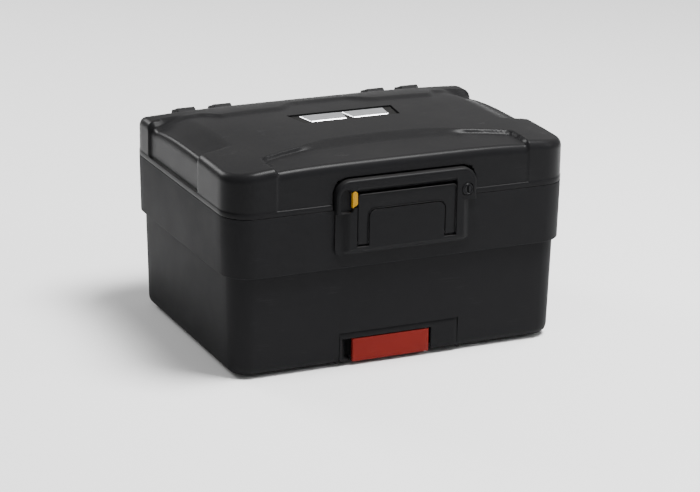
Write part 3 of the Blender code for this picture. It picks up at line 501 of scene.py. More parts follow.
def bevelled(piece, width, angle=30):
    """Round a piece's sharp edges by width in mm."""
    mod = piece.modifiers.new("rounded edges", "BEVEL")
    mod.width, mod.segments, mod.limit_method = width * MM, 3, "ANGLE"
    mod.angle_limit = math.radians(angle)
    mod.harden_normals = True

# %% [markdown]
# ## The case outline
# All three shells share one outline: a rounded rectangle.  A point of it is a spot on a smaller, square
# cornered rectangle plus the corner radius times the outward normal, so drawing the outline in by some
# inset only shortens that radius.  A shell is then a short profile of insets and heights carried round it.

# %% Outline and profile sweep
UPPER_LOW, UPPER_HIGH = mm_box("upper_shell")
HALF_W, HALF_D = UPPER_HIGH[0], UPPER_HIGH[1]
SEAM_Z, STEP_Z = UPPER_HIGH[2], 117.5
FOOT_Z = mm_box("lower_shell")[0][2]
RIM_LOW = mm_box("lower_shell")[1][2]
CORNER_R, GAP = 34.0, 0.3
FRONT = -HALF_D


def outline_points(front_edges=(), step=6.0, corner=18, side_edges=(), fine=0.5, reach=1.6):
    """Spots on the square-cornered rectangle and outward normals, once round from the front left."""
    a, b = HALF_W - CORNER_R, HALF_D - CORNER_R
    xs = graded(-a, a, step, front_edges, fine, reach)
    ys = graded(-b, b, step, side_edges, fine, reach)
    xr = graded(-a, a, step)[::-1]
    angle = np.radians(np.linspace(0, 90, corner + 1)[1:-1])
    spots, normals = [], []

    def straight(x, y, nx, ny):
        spots.append(np.stack([x, y], -1))
        normals.append(np.tile([float(nx), float(ny)], (len(x), 1)))

    def bend(x, y, start):
        spots.append(np.tile([x, y], (len(angle), 1)))
        normals.append(np.stack([np.cos(angle + start), np.sin(angle + start)], -1))

    straight(xs, np.full(len(xs), -b), 0, -1)
    bend(a, -b, -math.pi / 2)
    straight(np.full(len(ys), a), ys, 1, 0)
    bend(a, b, 0.0)
    straight(xr, np.full(len(xr), b), 0, 1)
    bend(-a, b, math.pi / 2)
    straight(np.full(len(ys), -a), ys[::-1], -1, 0)
    bend(-a, -b, math.pi)
    return np.concatenate(spots), np.concatenate(normals)


def carry_round(spots, normals, insets, heights):
    """Carry a profile round the outline: each row is one (inset, height) pair."""
    shape = (len(insets), len(spots))
    insets, heights = (np.broadcast_to(np.asarray(rows, float).reshape(shape[0], -1), shape)
                       for rows in (insets, heights))
    plan = spots[None] + normals[None] * (CORNER_R - insets)[..., None]
    return np.concatenate([plan, heights[..., None]], -1)


def fillet(a, b, c, radius, n=5):
    """Replace corner b of a profile a-b-c by n + 1 points on a curve that touches both sides."""
    a, b, c = (np.asarray(p, float) for p in (a, b, c))
    p = b + (a - b) / np.linalg.norm(a - b) * radius
    q = b + (c - b) / np.linalg.norm(c - b) * radius
    t = np.linspace(0, 1, n + 1)[:, None]
    return (1 - t) ** 2 * p + 2 * t * (1 - t) * b + t ** 2 * q


def rounded_profile(points, radii, closed=False):
    """Round each corner of a profile by its own radius; 0 keeps it sharp."""
    out, n = [], len(points)
    for k, (p, r) in enumerate(zip(points, radii)):
        sharp = r == 0 or (not closed and k in (0, n - 1))
        out.append(np.array([p], float) if sharp else fillet(points[k - 1], p, points[(k + 1) % n], r))
    return np.concatenate(out)


print(f"outline {2 * HALF_W:.0f} x {2 * HALF_D:.0f} mm, seam at {SEAM_Z:.1f}, foot at {FOOT_Z:.1f}")

# %% [markdown]
# ## Lower shell
# An injection-moulded tub: its walls lean out as they rise, so that it leaves its mould, and a generous
# radius runs round the bottom.  It is swept from the middle of its underside, up the outside, over the rim
# and down the inside to the middle of the floor.  The pocket for the release mechanism is cut afterwards,
# because a box with square corners is simplest as a Boolean.

# %% Lower shell
IN_BOTTOM, IN_STEP, WALL, FLOOR = 9.8, 6.8, 3.0, 4.0


def lower_inset(z):
    """Inset of the tub's outer wall at height z: a straight draft."""
    return IN_BOTTOM - (IN_BOTTOM - IN_STEP) * (z - FOOT_Z) / (STEP_Z - FOOT_Z)


def shrink_rings(ring, shares):
    """Copies of a closed ring drawn in towards its own middle; a share of 0 closes it."""
    middle = ring.mean(axis=0)
    return middle + (ring[None] - middle) * np.asarray(shares, float)[:, None, None]


spots, normals = outline_points(step=8.0, corner=16)
rim_in = lower_inset(RIM_LOW)
wall = rounded_profile([(40, FOOT_Z), (IN_BOTTOM, FOOT_Z), (IN_STEP, STEP_Z), (rim_in, RIM_LOW),
                        (rim_in + WALL, RIM_LOW), (IN_BOTTOM + WALL, FOOT_Z + FLOOR), (44, FOOT_Z + FLOOR)],
                       (0, 11, 0, 0.8, 0.8, 8, 0))[1:-1]
rings = carry_round(spots, normals, wall[:, 0], wall[:, 1])
low_disc, high_disc = shrink_rings(rings[0], [0, 0.5]), shrink_rings(rings[-1], [0.5, 0])
rings = np.concatenate([low_disc, rings, high_disc])
tub = make_piece("lower_shell_fine", [ring_sheet(rings)], SHELL_BLACK, "base", ["lower_shell"])
BOX_X, BOX_BACK, BOX_TOP = 72.5, -92.0, 39.4
carve(tub, *block(-BOX_X - WALL, BOX_X + WALL, FRONT + IN_BOTTOM + 1.5, BOX_BACK + WALL, FOOT_Z + 1,
                  BOX_TOP + WALL), "UNION")
carve(tub, *block(-BOX_X, BOX_X, FRONT - 5, BOX_BACK, FOOT_Z - 5, BOX_TOP))

# %% [markdown]
# ## Upper shell
# The sleeve that slides over the tub.  Its section is an upside-down U: the visible band outside, a flat
# flange under the lid, and a skirt inside that keeps the load off the sliding gap.  The latch module plugs
# into a window in its front, and a round hole goes through each side of the skirt.

# %% Upper shell
UPPER_IN, BAND, SKIRT_IN, SKIRT_T, SKIRT_Z = 1.3, 2.6, 17.0, 2.5, UPPER_LOW[2]
SKIRT_BACK = SKIRT_IN + SKIRT_T
section = rounded_profile([(UPPER_IN, STEP_Z), (0.25, SEAM_Z - 14), (0.0, SEAM_Z), (SKIRT_BACK, SEAM_Z),
                           (SKIRT_BACK, SKIRT_Z), (SKIRT_IN, SKIRT_Z), (SKIRT_IN, SEAM_Z - BAND),
                           (BAND, SEAM_Z - BAND), (UPPER_IN + BAND, STEP_Z)],
                          (1.1, 4, 0.8, 1.5, 0.8, 0.8, 2, 2, 0.6), closed=True)
rings = carry_round(spots, normals, section[:, 0], section[:, 1])
sleeve = make_piece("upper_shell_fine", [ring_sheet(rings, True)], SHELL_BLACK, "upper",
                    ["upper_shell"])
MODULE_LOW, MODULE_HIGH = mm_box("latch_housing")
MODULE_X, MODULE_Z0, MODULE_Z1 = MODULE_HIGH[0], MODULE_LOW[2], MODULE_HIGH[2]
MODULE_FRONT = MODULE_LOW[1]
PLUG_X, PLUG_Z0, PLUG_Z1 = MODULE_X - 9.5, MODULE_Z0 + 5.5, SEAM_Z - BAND - 1.5
carve(sleeve, *block(-PLUG_X, PLUG_X, FRONT - 5, FRONT + 6, PLUG_Z0, PLUG_Z1))
CAM_Z, CAM_R = 112.0, 4.3
for s in (-1, 1):
    hole = arc(0, CAM_Z, CAM_R, 0, 348, 29)
    carve(sleeve, *prism(hole, 0, *sorted((s * (HALF_W - 30), s * (HALF_W - 14)))))

# %% [markdown]
# ## Lid
# The lid's top is one height function of x and y: a shallow dome, then what stands above or below it.  A
# lower strip runs along the front between two corner blocks, the side panels dip between front and rear
# blocks, and a raised band with two hinge covers lies across the rear.  Each step is a smooth ramp a few
# millimetres wide, which is what a mould's radius leaves.

# %% Lid relief
LID_IN, LID_CENTRE = 9.0, 243.0
STRIP_X, STRIP_DEPTH, SIDE_DEPTH, REAR_RISE = 150.0, 4.5, 6.5, 3.0
PANEL_FRONT, PANEL_REAR = -54.0, 96.0


def strip_edge(x):
    """Rear wall of the front strip: a shallow bow, deepest in the middle."""
    return FRONT + 43.0 + 27.0 * (1.0 - np.minimum(np.abs(x) / STRIP_X, 1.0) ** 2.2)


def band_edge(x):
    """Front edge of the rear band: two hinge covers reach forward."""
    u = np.abs(x)
    cover = smooth_step(u, 30.0, 62.0) * (1.0 - smooth_step(u, 128.0, 150.0))
    return HALF_D - 72.0 - 26.0 * cover + 6.0 * smooth_step(u, 150.0, 175.0)


def dome(x, y):
    """Centre height less a fall to the front, a steeper one to the hinges and one to the sides."""
    front = 3.0 * (np.clip(-y, 0, None) / (HALF_D - 4)) ** 2
    rear = 19.0 * (np.clip(y, 0, None) / (HALF_D - 7)) ** 2.3
    side = 8.0 * (1 - 0.75 * smooth_step(y, HALF_D - 64, HALF_D - 19)) * (np.abs(x) / (HALF_W - 10)) ** 4
    return LID_CENTRE - front - rear - side


def lid_height(x, y):
    """The dome with its strip, side panels and rear band."""
    u = np.abs(x)
    soft = 2.2 + 9.0 * (1 - smooth_step(u, 65.0, 105.0))
    strip = 1 - smooth_step(u, STRIP_X - 2, STRIP_X + 2)
    strip *= 1 - smooth_step(y, strip_edge(x) - soft, strip_edge(x) + soft)
    side = smooth_step(y, PANEL_FRONT - 4, PANEL_FRONT + 4) * (1 - smooth_step(y, PANEL_REAR - 4, PANEL_REAR + 4))
    side *= smooth_step(u, HALF_W - 45, HALF_W - 12)
    band = smooth_step(y, band_edge(x) - 7.0, band_edge(x) + 7.0)
    band *= 1 - smooth_step(y, HALF_D - 40, HALF_D - 12)
    return dome(x, y) - STRIP_DEPTH * strip - SIDE_DEPTH * side + REAR_RISE * band


print("lid height at the middle and at a front corner:", float(lid_height(0.0, 0.0)),
      round(float(lid_height(HALF_W - LID_IN, FRONT + LID_IN)), 1))

# %% [markdown]
# The lid is swept like the shells, but its profile changes as it goes round: the skirt rises to a height
# that the relief sets, rolls over an edge and runs in to a pole hidden under the badge.  An arched alcove
# for the latch module is pressed into the front wall.

# %% Lid shell
LIP_Z, TOP_R = SEAM_Z + GAP, 10.5
ARCH_X, ARCH_Z, ARCH_R, ARCH_DEPTH = MODULE_X + 1.5, MODULE_Z1 + 1.5, 18.5, 11.3
spots, normals = outline_points(front_edges=(-STRIP_X - 2, -ARCH_X, ARCH_X, STRIP_X + 2, 12 - ARCH_X, ARCH_X - 12),
                                step=2.9, corner=16, side_edges=(PANEL_FRONT, PANEL_REAR), fine=0.6, reach=2.4)
count = len(spots)
rim = spots + normals * (CORNER_R - LID_IN)
rim_z = lid_height(rim[:, 0], rim[:, 1])
on_side = np.abs(normals[:, 0]) > 0.99
in_front = normals[:, 1] < -0.99
side_in = 3.0 * on_side * smooth_step(rim[:, 1], PANEL_FRONT - 4, PANEL_FRONT + 2)
side_in *= 1 - smooth_step(rim[:, 1], PANEL_REAR - 4, PANEL_REAR + 2)
front_in = 0.8 * in_front * (1 - smooth_step(np.abs(rim[:, 0]), STRIP_X - 1, STRIP_X + 2))
skirt_in = 0.5 + side_in + front_in
lip_in, lip_h, skirt_h = (0.7, 0.15, 0.0, 0.0, 0.25), (0.0, 0.25, 0.9, 4.9, 5.6), 6.2
rows_in = [np.full(count, v) for v in lip_in]
rows_z = [np.full(count, LIP_Z + h) for h in lip_h]
for t in np.concatenate([np.linspace(0, 0.72, 16), np.linspace(0.77, 1.0, 10)]):
    rows_in.append(skirt_in)
    rows_z.append(LIP_Z + skirt_h + (rim_z - TOP_R - LIP_Z - skirt_h) * t)
for a in np.radians(np.linspace(0, 90, 11)[1:]):
    rows_in.append(skirt_in + (LID_IN - skirt_in) * (1 - math.cos(a)))
    rows_z.append(rim_z - TOP_R + TOP_R * math.sin(a))
outer = carry_round(spots, normals, np.array(rows_in), np.array(rows_z))
print("lid's outside:", outer.shape[0], "rows of", outer.shape[1], "points")

# %% [markdown]
# The top runs in from that edge to the pole, and the inside is a simpler copy of the outside.  Both front
# walls get the arch pressed into them, and the badge's bed is cut out at the end.

# %% Lid top, inside and arch
def press_arch(rows, grow):
    """Press the alcove's arch, larger by grow, into the front wall of a stack of rings."""
    arch = rounded_box(rows[..., 0], rows[..., 2], -ARCH_X - grow, ARCH_X + grow, SEAM_Z - 40, ARCH_Z + grow, 1.0,
                       ARCH_R + grow)
    rows[..., 1] += pressed(arch, ARCH_DEPTH, 0.6) * in_front


LID_WALL = 3.0
press_arch(outer, 0.0)
POLE = np.array([0.0, 6.0])
shares = np.concatenate([1 - np.linspace(0, 0.5, 76)[1:], 1 - np.linspace(0.5, 0.93, 28)[1:], [0.0]])
plan = POLE + (rim[None] - POLE) * shares[:, None, None]
top = np.concatenate([plan, lid_height(plan[..., 0], plan[..., 1])[..., None]], -1)
inner_in = np.array([np.full(count, v) for v in (LID_IN + 2.0, 6.0, 4.0, 3.6)])
inner_z = np.array([dome(rim[:, 0], rim[:, 1]) - 11.5, rim_z - 13.0, np.full(count, LIP_Z + 20),
                    np.full(count, LIP_Z)])
under = carry_round(spots, normals, inner_in, inner_z)
press_arch(under, LID_WALL)
ceiling = POLE + (under[0][None, :, :2] - POLE) * np.array([0.0, 0.5, 0.9])[:, None, None]
ceiling = np.concatenate([ceiling, dome(ceiling[..., 0], ceiling[..., 1])[..., None] - 11.0], -1)
lid_rows = np.concatenate([ceiling, under, outer, top])
lid = make_piece("lid_shell_fine", [ring_sheet(lid_rows)], LID_BLACK, "lid", ["lid_shell"], sharp=38)
BED_LOW, BED_HIGH = mm_box("badge_bed")
BED_LEAN, BED_GAP = 3.0, 0.5
bed_x0, bed_x1, bed_y0, bed_y1 = (BED_LOW[0] - BED_GAP, BED_HIGH[0] + BED_GAP, BED_LOW[1] - BED_GAP,
                                  BED_HIGH[1] + BED_GAP)
slanted = [(bed_x0 + 2 * BED_LEAN, bed_y0), (bed_x1 - 2 * BED_LEAN, bed_y0), (bed_x1, bed_y1), (bed_x0, bed_y1)]
carve(lid, *prism(slanted, 2, BED_LOW[2] - 0.4, LID_CENTRE + 20))

# %% [markdown]
# ## Latch module
# One moulding with many pockets: a U-shaped one for the carry handle, a finger trough above the handle, a
# finger pocket beside the yellow button, a slot for the button and a bore for the lock.  Signed distances
# describe each outline; pressing them into a flat face gives every pocket its soft wall in one expression.
# The front and the back are two height fields over the same grid, whose lines crowd together at each edge.

# %% Latch module's grid
HANDLE_X, HANDLE_LEG, HANDLE_T = 59.0, 13.0, 4.5
HANDLE_TOP, HANDLE_BAR = 201.0, 18.0
PIN_R, BARREL, RUN = 1.6, 3.5, 0.5
PIVOT = mm_box("handle_pin_left")[0][1:] + PIN_R
BUTTON_LOW, BUTTON_HIGH = mm_box("release_button")
LOCK_X, LOCK_Z, LOCK_R, HOOK_Z = 72.5, 193.0, 6.5, 202.0
FOOT_R, HEAD_R, FLARE = 9.0, 17.0, 4.4


def rounded_grid(x_lines, z0, z1, half, r_low, r_high, z_lines, corner=14):
    """Grid over a rounded rectangle: rows follow the corner arcs, so its border is smooth."""
    a = np.radians(np.linspace(0, 90, corner + 1))
    low_z, low_half = z0 + r_low - r_low * np.cos(a), half - r_low + r_low * np.sin(a)
    high_z, high_half = z1 - r_high + r_high * np.sin(a), half - r_high + r_high * np.cos(a)
    mid = z_lines[(z_lines > z0 + r_low + 0.1) & (z_lines < z1 - r_high - 0.1)]
    z = np.concatenate([low_z, mid, high_z])
    halves = np.concatenate([low_half, np.full(len(mid), half), high_half])
    return x_lines[None, :] * (halves / half)[:, None], np.repeat(z[:, None], len(x_lines), axis=1)


leg_in, bar_low, bore_r = HANDLE_X - HANDLE_LEG, HANDLE_TOP - HANDLE_BAR, LOCK_R + GAP
x_edges = (-MODULE_X + 1.5, MODULE_X - 1.5, BUTTON_LOW[0] - 13, BUTTON_LOW[0] - GAP, -HANDLE_X - 0.6,
           -HANDLE_X - RUN, -leg_in + RUN, leg_in - RUN, HANDLE_X + RUN, LOCK_X - bore_r, LOCK_X + bore_r)
z_edges = (MODULE_Z0 + 10, bar_low - RUN, HANDLE_TOP, HANDLE_TOP + 8, BUTTON_LOW[2] - 5.5, BUTTON_LOW[2] - GAP,
           BUTTON_HIGH[2] + 0.4, LOCK_Z - bore_r, LOCK_Z + bore_r, SEAM_Z + GAP, PLUG_Z0 + 0.2, PLUG_Z1 - 0.2)
x, z = rounded_grid(graded(-MODULE_X, MODULE_X, 1.3, x_edges, 0.4), MODULE_Z0, MODULE_Z1, MODULE_X, FOOT_R, HEAD_R,
                    graded(MODULE_Z0, MODULE_Z1, 1.3, z_edges, 0.4))
border = rounded_box(x, z, -MODULE_X, MODULE_X, MODULE_Z0, MODULE_Z1, FOOT_R, HEAD_R)
print("module grid:", x.shape)

# %% [markdown]
# The front face starts flat.  Below the seam it falls to a thinner flange at both sides and at the bottom,
# and its border is rounded.  Then the pockets go in; where two overlap, the deeper one wins.

# %% Front face of the module
below = 1.0 - smooth_step(z, SEAM_Z - 4.0, SEAM_Z - 3.2)
aside = smooth_step(np.abs(x), MODULE_X - 16.0, MODULE_X - 7.5)
under = smooth_step(MODULE_Z0 - z, -8.0, -1.5)
fall = FLARE * np.clip(np.hypot(aside * below, under), 0.0, 1.0)
y = MODULE_FRONT + np.maximum(fall, rounding(border, 3.0))
u_outer = rounded_box(x, z, -HANDLE_X - RUN, HANDLE_X + RUN, PIVOT[1] - BARREL - RUN, HANDLE_TOP + RUN, RUN, 4.0)
u_inner = rounded_box(x, z, -leg_in + RUN, leg_in - RUN, PIVOT[1] - 30, bar_low - RUN, 2.0, 7.5)
u_shape = np.maximum(u_outer, -u_inner)
pocket = pressed(u_shape, HANDLE_T + 0.6, 0.3)
cup_r = BARREL + RUN
cup = PIVOT[0] + np.sqrt(np.maximum(cup_r ** 2 - (z - PIVOT[1]) ** 2, 0.0)) - MODULE_FRONT
pocket = np.maximum(pocket, pressed(u_shape, 1.0, 0.3) * np.where(np.abs(z - PIVOT[1]) < cup_r, cup, 0.0))
trough = rounded_box(x, z, -HANDLE_X - RUN, HANDLE_X + RUN, HANDLE_TOP - 4, HANDLE_TOP + 8, 2.0, 3.0)
trough = pressed(trough, 8.0, 0.4) * (1.0 - smooth_step(z, HANDLE_TOP - 4.0, HANDLE_TOP + 8.0))
finger = rounded_box(x, z, BUTTON_LOW[0] - 13, BUTTON_LOW[0] + 1, BUTTON_LOW[2] - 5, BUTTON_HIGH[2] + 2, 3.0, 6.0)
bore = pressed(np.hypot(x - LOCK_X, z - LOCK_Z) - bore_r, 10.5, 0.2)
front_face = y + np.maximum.reduce([pocket, trough, pressed(finger, 4.0, 0.5), bore])
print("deepest pocket:", round(float((front_face - y).max()), 1), "mm")

# %% [markdown]
# The back lies just off the shell below the seam, with a plug that reaches through the shell's window, and
# stands further back above the seam, where the lid's alcove leaves room.  The button's slot and the hook's
# chamber have square corners, so they are cut out.

# %% Back of the module and its slots
plug = rounded_box(x, z, -PLUG_X + GAP, PLUG_X - GAP, PLUG_Z0 + GAP, PLUG_Z1 - GAP, 0.5)
back_y = FRONT - 0.4
rear_face = back_y + pressed(plug, 3.6, 0.2)
rear_face = np.maximum(rear_face, back_y + 7.4 * smooth_step(z, SEAM_Z + 0.2, SEAM_Z + 0.6))
rear_face = np.maximum(rear_face, front_face + 0.35)
module = make_piece("latch_housing_fine", [two_faced(x, z, front_face, rear_face)], MODULE_BLACK, "upper",
                    ["latch_housing"], sharp=50)
slot_x = (BUTTON_LOW[0] - 2, BUTTON_HIGH[0] + 2)
carve(module, *block(BUTTON_LOW[0] - GAP, BUTTON_HIGH[0] + GAP - 0.1, MODULE_FRONT - 3, MODULE_FRONT + 8.1,
                     BUTTON_LOW[2] - GAP, BUTTON_HIGH[2] + GAP), sharp=50)
carve(module, *block(*slot_x, MODULE_FRONT + 7.0, FRONT + 12, SEAM_Z + 2.2, MODULE_Z1 - 3.0), sharp=50)
carve(module, *block(*slot_x, MODULE_FRONT + 5.2, FRONT + 12, HOOK_Z + 2.4, MODULE_Z1 - 3.2), sharp=50)

# %% [markdown]
# ## Carry handle
# A flat U that lies flush in the module and folds out about a pin at its feet.  It is drawn by two
# contours, outer and inner, that are walked together; the section between them is a rectangle with rounded
# edges.  Towards the feet the section swells into the barrel round the pin.

# %% Carry handle
def u_contour(half, top, radius, foot, n_leg=26, n_corner=10, n_bar=30):
    """Half-width, top height, corner radius and foot height of a U: left foot up, across, down again."""
    leg = np.stack([np.full(n_leg, -half), np.linspace(foot, top - radius, n_leg, endpoint=False)], -1)
    corner = arc(-half + radius, top - radius, radius, 180, 90, n_corner)
    bar = np.stack([np.linspace(-half + radius, half - radius, n_bar)[1:-1], np.full(n_bar - 2, top)], -1)
    left = np.concatenate([leg, corner])
    return np.concatenate([left, bar, (left * [-1, 1])[::-1]])


foot = PIVOT[1] - BARREL + 0.02
outer_u = u_contour(HANDLE_X, HANDLE_TOP, 3.5, foot)
inner_u = u_contour(leg_in, bar_low, 8.0, foot)
edge = 1.1
quarter = np.radians(np.linspace(0, 90, 5))
corner_a, corner_b = edge - edge * np.sin(quarter), edge - edge * np.cos(quarter)
width = np.linalg.norm(outer_u - inner_u, axis=1)[:, None]


def handle_depths(zz):
    """Front and rear face of the handle at height zz: a plate above, the barrel's circle below."""
    chord = np.sqrt(np.maximum(BARREL ** 2 - (zz - PIVOT[1]) ** 2, 0.0))
    face = np.where(zz < PIVOT[1], PIVOT[0] - chord, MODULE_FRONT)
    rear = np.maximum(PIVOT[0] + np.where(zz < PIVOT[1] + BARREL, chord, -9.0),
                      np.where(zz < PIVOT[1], PIVOT[0] - 9, MODULE_FRONT + HANDLE_T))
    return face, np.maximum(rear, face + 0.05)


share = np.concatenate([corner_a[None] / width, 1 - corner_a[None, ::-1] / width, 1 - corner_a[None] / width,
                        corner_a[None, ::-1] / width], axis=1)
depth_mm = np.concatenate([corner_b, corner_b[::-1], -corner_b, -corner_b[::-1]])
from_front = np.arange(len(depth_mm)) < 2 * len(quarter)
plan_u = outer_u[:, None, :] + (inner_u - outer_u)[:, None, :] * share[..., None]
face_y, rear_y = handle_depths(plan_u[..., 1])
thick = rear_y - face_y
limit = np.minimum(1.0, thick / (2 * edge + 0.2))
yy = np.where(from_front[None], face_y + depth_mm[None] * limit, rear_y + depth_mm[None] * limit)
handle_rows = np.stack([plan_u[..., 0], yy, plan_u[..., 1]], -1)
n_rows, n_cols = handle_rows.shape[:2]
make_piece("carry_handle_fine", [ring_sheet(handle_rows)], HANDLE_BLACK, "carry_handle",
           ["carry_handle"], sharp=40, caps=(range(n_cols), range((n_rows - 1) * n_cols, n_rows * n_cols)))

# %% [markdown]
# ## Push button, lock and their small parts
# The button is a short bar with softened edges.  The lock is turned: a barrel with a chamfered face, and a
# plug with a key slot pressed into a disc.

# %% Button and lock
bx0, bx1, bz0, bz1 = BUTTON_LOW[0], BUTTON_HIGH[0], BUTTON_LOW[2], BUTTON_HIGH[2]
outline = [(bx0, bz0), (bx1, bz0 + 3.5), (bx1, bz1 - 2), (bx1 - 2, bz1), (bx0 + 2, bz1), (bx0, bz1 - 2)]
shape, caps = prism(outline, 1, BUTTON_LOW[1], MODULE_FRONT + 3.0)
button = make_piece("release_button_fine", [shape], BUTTON_YELLOW, "release_button",
                    ["release_button"], caps=caps)
carve(button, *block(bx0 + 0.6, bx0 + 4.5, MODULE_FRONT + 2, BUTTON_HIGH[1], bz0 + 1.2, bz0 + 3.6), "UNION")
bevelled(button, 0.5)

barrel_low, barrel_high = mm_box("lock_barrel")
face_y, end_y, floor_y = barrel_low[1], barrel_high[1], barrel_high[1] - 1.5
hole_r = LOCK_R - 1.6
shape = turned([(hole_r, floor_y), (hole_r, face_y + 0.4), (hole_r + 0.4, face_y), (LOCK_R - 0.7, face_y),
                (LOCK_R, face_y + 0.7), (LOCK_R, end_y), (0, end_y)], 1, (LOCK_X, LOCK_Z))
floor_ring = turned([(0, floor_y), (hole_r, floor_y)], 1, (LOCK_X, LOCK_Z))
make_piece("lock_barrel_fine", [shape, floor_ring], LOCK_BLACK, "upper", ["lock_barrel"])

plug_low, plug_high = mm_box("lock_cylinder")
radius = (plug_high[0] - plug_low[0]) / 2
r_lines = np.concatenate([[0], graded(0.2, radius - 0.4, 0.25), [radius - 0.15, radius]])
angle = np.linspace(0, 2 * math.pi, 96, endpoint=False)
px, pz = LOCK_X + r_lines[:, None] * np.cos(angle), LOCK_Z + r_lines[:, None] * np.sin(angle)
key = rounded_box(px, pz, LOCK_X - 0.8, LOCK_X + 0.8, LOCK_Z - 3.4, LOCK_Z + 3.4, 0.4)
py = plug_low[1] + pressed(key, 4.5, 0.12) + 0.25 * smooth_step(r_lines, radius - 0.3, radius)[:, None]
tail_r = np.array([radius, 0.0])[:, None]
tail = np.stack([LOCK_X + tail_r * np.cos(angle), np.full((2, len(angle)), plug_high[1]),
                 LOCK_Z + tail_r * np.sin(angle)], -1)
disc = np.concatenate([np.stack([px, py, pz], -1), tail])
make_piece("lock_cylinder_fine", [ring_sheet(disc)], LOCK_BLACK, "lock_cylinder", ["lock_cylinder"])

# %% [markdown]
# ## Release lever and its bezel
# The red lever lies flush in the bottom of the front and swings out about an upright pin at its right end.
# Behind it a short crank draws the rack bolt.  The bezel is a thin plate with a window, closed by a plain
# cover at the right.

# %% Release lever and bezel
lever_low, lever_high = mm_box("release_lever")
bezel_low, bezel_high = mm_box("release_bezel")


def joint_place(name):
    """A point on a joint's axis, in millimetres."""
    return np.array(next(j for j in frame["joints"] if j["name"] == name)["pos_m"]) / MM


pivot_x, pivot_y = joint_place("release_lever_hinge")[:2]
lever_r, lever_t, LEVER_TOP = 4.2, 4.0, 31.0
front_y = pivot_y - lever_r
body = np.concatenate([[(lever_low[0], front_y), (pivot_x, front_y)], arc(pivot_x, pivot_y, lever_r, -90, 90, 16)[1:],
                       [(pivot_x - 6, pivot_y + lever_r - 1.0), (pivot_x - 14, front_y + lever_t),
                        (lever_low[0], front_y + lever_t)]])
shape, caps = prism(body, 2, lever_low[2], LEVER_TOP)
lever = make_piece("release_lever_fine", [shape], LEVER_RED, "release_lever", ["release_lever"],
                   caps=caps)
crank = math.radians(105.0)
cx, cy = pivot_x + 9 * math.cos(crank), pivot_y + 9 * math.sin(crank)
web = np.concatenate([arc(pivot_x, pivot_y, 3.2, 205, 395, 10), arc(cx, cy, 3.0, 30, 210, 10)])
carve(lever, *prism(web, 2, LEVER_TOP - 4, LEVER_TOP - 0.1), "UNION")
carve(lever, *prism(arc(cx, cy, 1.8, 0, 345, 23), 2, LEVER_TOP - 2, lever_high[2]), "UNION")
carve(lever, *prism(arc(pivot_x, pivot_y, 2.3, 0, 345, 23), 2, 0, 40))
bevelled(lever, 0.7)

# %% [markdown]
# The bezel's window is left out of its grid, cell by cell.  The scoop beside the lever is a second sheet: its
# floor runs from just behind the bezel's edge to well behind the lever, so that a finger slides under the
# lever's free end.

# %% Bezel and finger scoop
WINDOW_X1, WINDOW_TOP = 39.4, LEVER_TOP + 0.8
window = (bezel_low[0] + 2.2, WINDOW_X1, -20.0, WINDOW_TOP)
x_lines = graded(bezel_low[0], bezel_high[0], 3.0, window[:2], 0.5, 1.5)
z_lines = graded(bezel_low[2], bezel_high[2], 3.0, (WINDOW_TOP,), 0.5, 1.5)
x_lines = np.unique(np.concatenate([x_lines, window[:2]]))
z_lines = np.unique(np.concatenate([z_lines, [WINDOW_TOP]]))
x, z = np.meshgrid(x_lines, z_lines)
border = np.maximum(rounded_box(x, z, bezel_low[0], bezel_high[0], bezel_low[2] - 9, bezel_high[2], 1, 2),
                    -rounded_box(x, z, *window, 0.5))
face = bezel_low[1] + rounding(border, 0.8)
middle_x, middle_z = (x[:-1, :-1] + x[1:, 1:]) / 2, (z[:-1, :-1] + z[1:, 1:]) / 2
solid_cells = ~((middle_x > window[0]) & (middle_x < window[1]) & (middle_z < window[3]))
bezel_back = np.full_like(face, bezel_high[1])
make_piece("release_bezel_fine", [two_faced(x, z, face, bezel_back, solid_cells)], MODULE_BLACK, "base",
           ["release_bezel"])

scoop_x = graded(window[0], lever_low[0] + 4.0, 0.7, (), 0.3, 1.0)
scoop_z = graded(lever_low[2] - 0.5, window[3], 1.5, (), 0.3, 1.0)
x, z = np.meshgrid(scoop_x, scoop_z)
open_end = smooth_step(x, lever_low[0] - 3.0, lever_low[0] - 0.8)
hollow = np.maximum(smooth_step(z, lever_low[2], lever_low[2] + 5.0), open_end)
hollow *= smooth_step(x, window[0], lever_low[0] - 2.0)
face = bezel_low[1] + 1.2 + 9.0 * hollow
make_piece("finger_scoop", [two_faced(x, z, face, face + 1.2)], MODULE_BLACK, "base")

# %% [markdown]
# ## Badge
# A sunken bed with two plain silver plates and no mark on them.  The plates are slightly crowned so that the
# light rolls over them.

# %% Badge
def leaning_plate(low, high, lean, crown, edge):
    """A plate in a box, narrower in front by lean; its top falls with the square of the distance from its middle."""
    u, v = (np.sign(w) * np.abs(w) ** 0.8 for w in np.meshgrid(np.linspace(-1, 1, 60), np.linspace(-1, 1, 24)))
    half_x, half_y = (high[0] - low[0]) / 2, (high[1] - low[1]) / 2
    xx = (low[0] + high[0]) / 2 + u * (half_x - lean) + lean * u * v
    yy = (low[1] + high[1]) / 2 + v * half_y
    inside = np.minimum((1 - np.abs(u)) * half_x, (1 - np.abs(v)) * half_y)
    zz = high[2] - crown * (0.5 * u ** 2 + 0.5 * v ** 2) - rounding(-inside, edge)
    return two_faced_up(xx, yy, zz, np.full_like(zz, low[2]))


make_piece("badge_bed_fine", [leaning_plate(BED_LOW, BED_HIGH, BED_LEAN, 0.0, 0.6)], DEEP_BLACK, "lid",
           ["badge_bed"])
for name in ("left", "right"):
    low, high = mm_box(f"badge_plate_{name}")
    make_piece(f"badge_plate_{name}_fine", [leaning_plate(low, high, 2.0, 0.25, 0.7)], BADGE_SILVER, "lid",
               [f"badge_plate_{name}"])

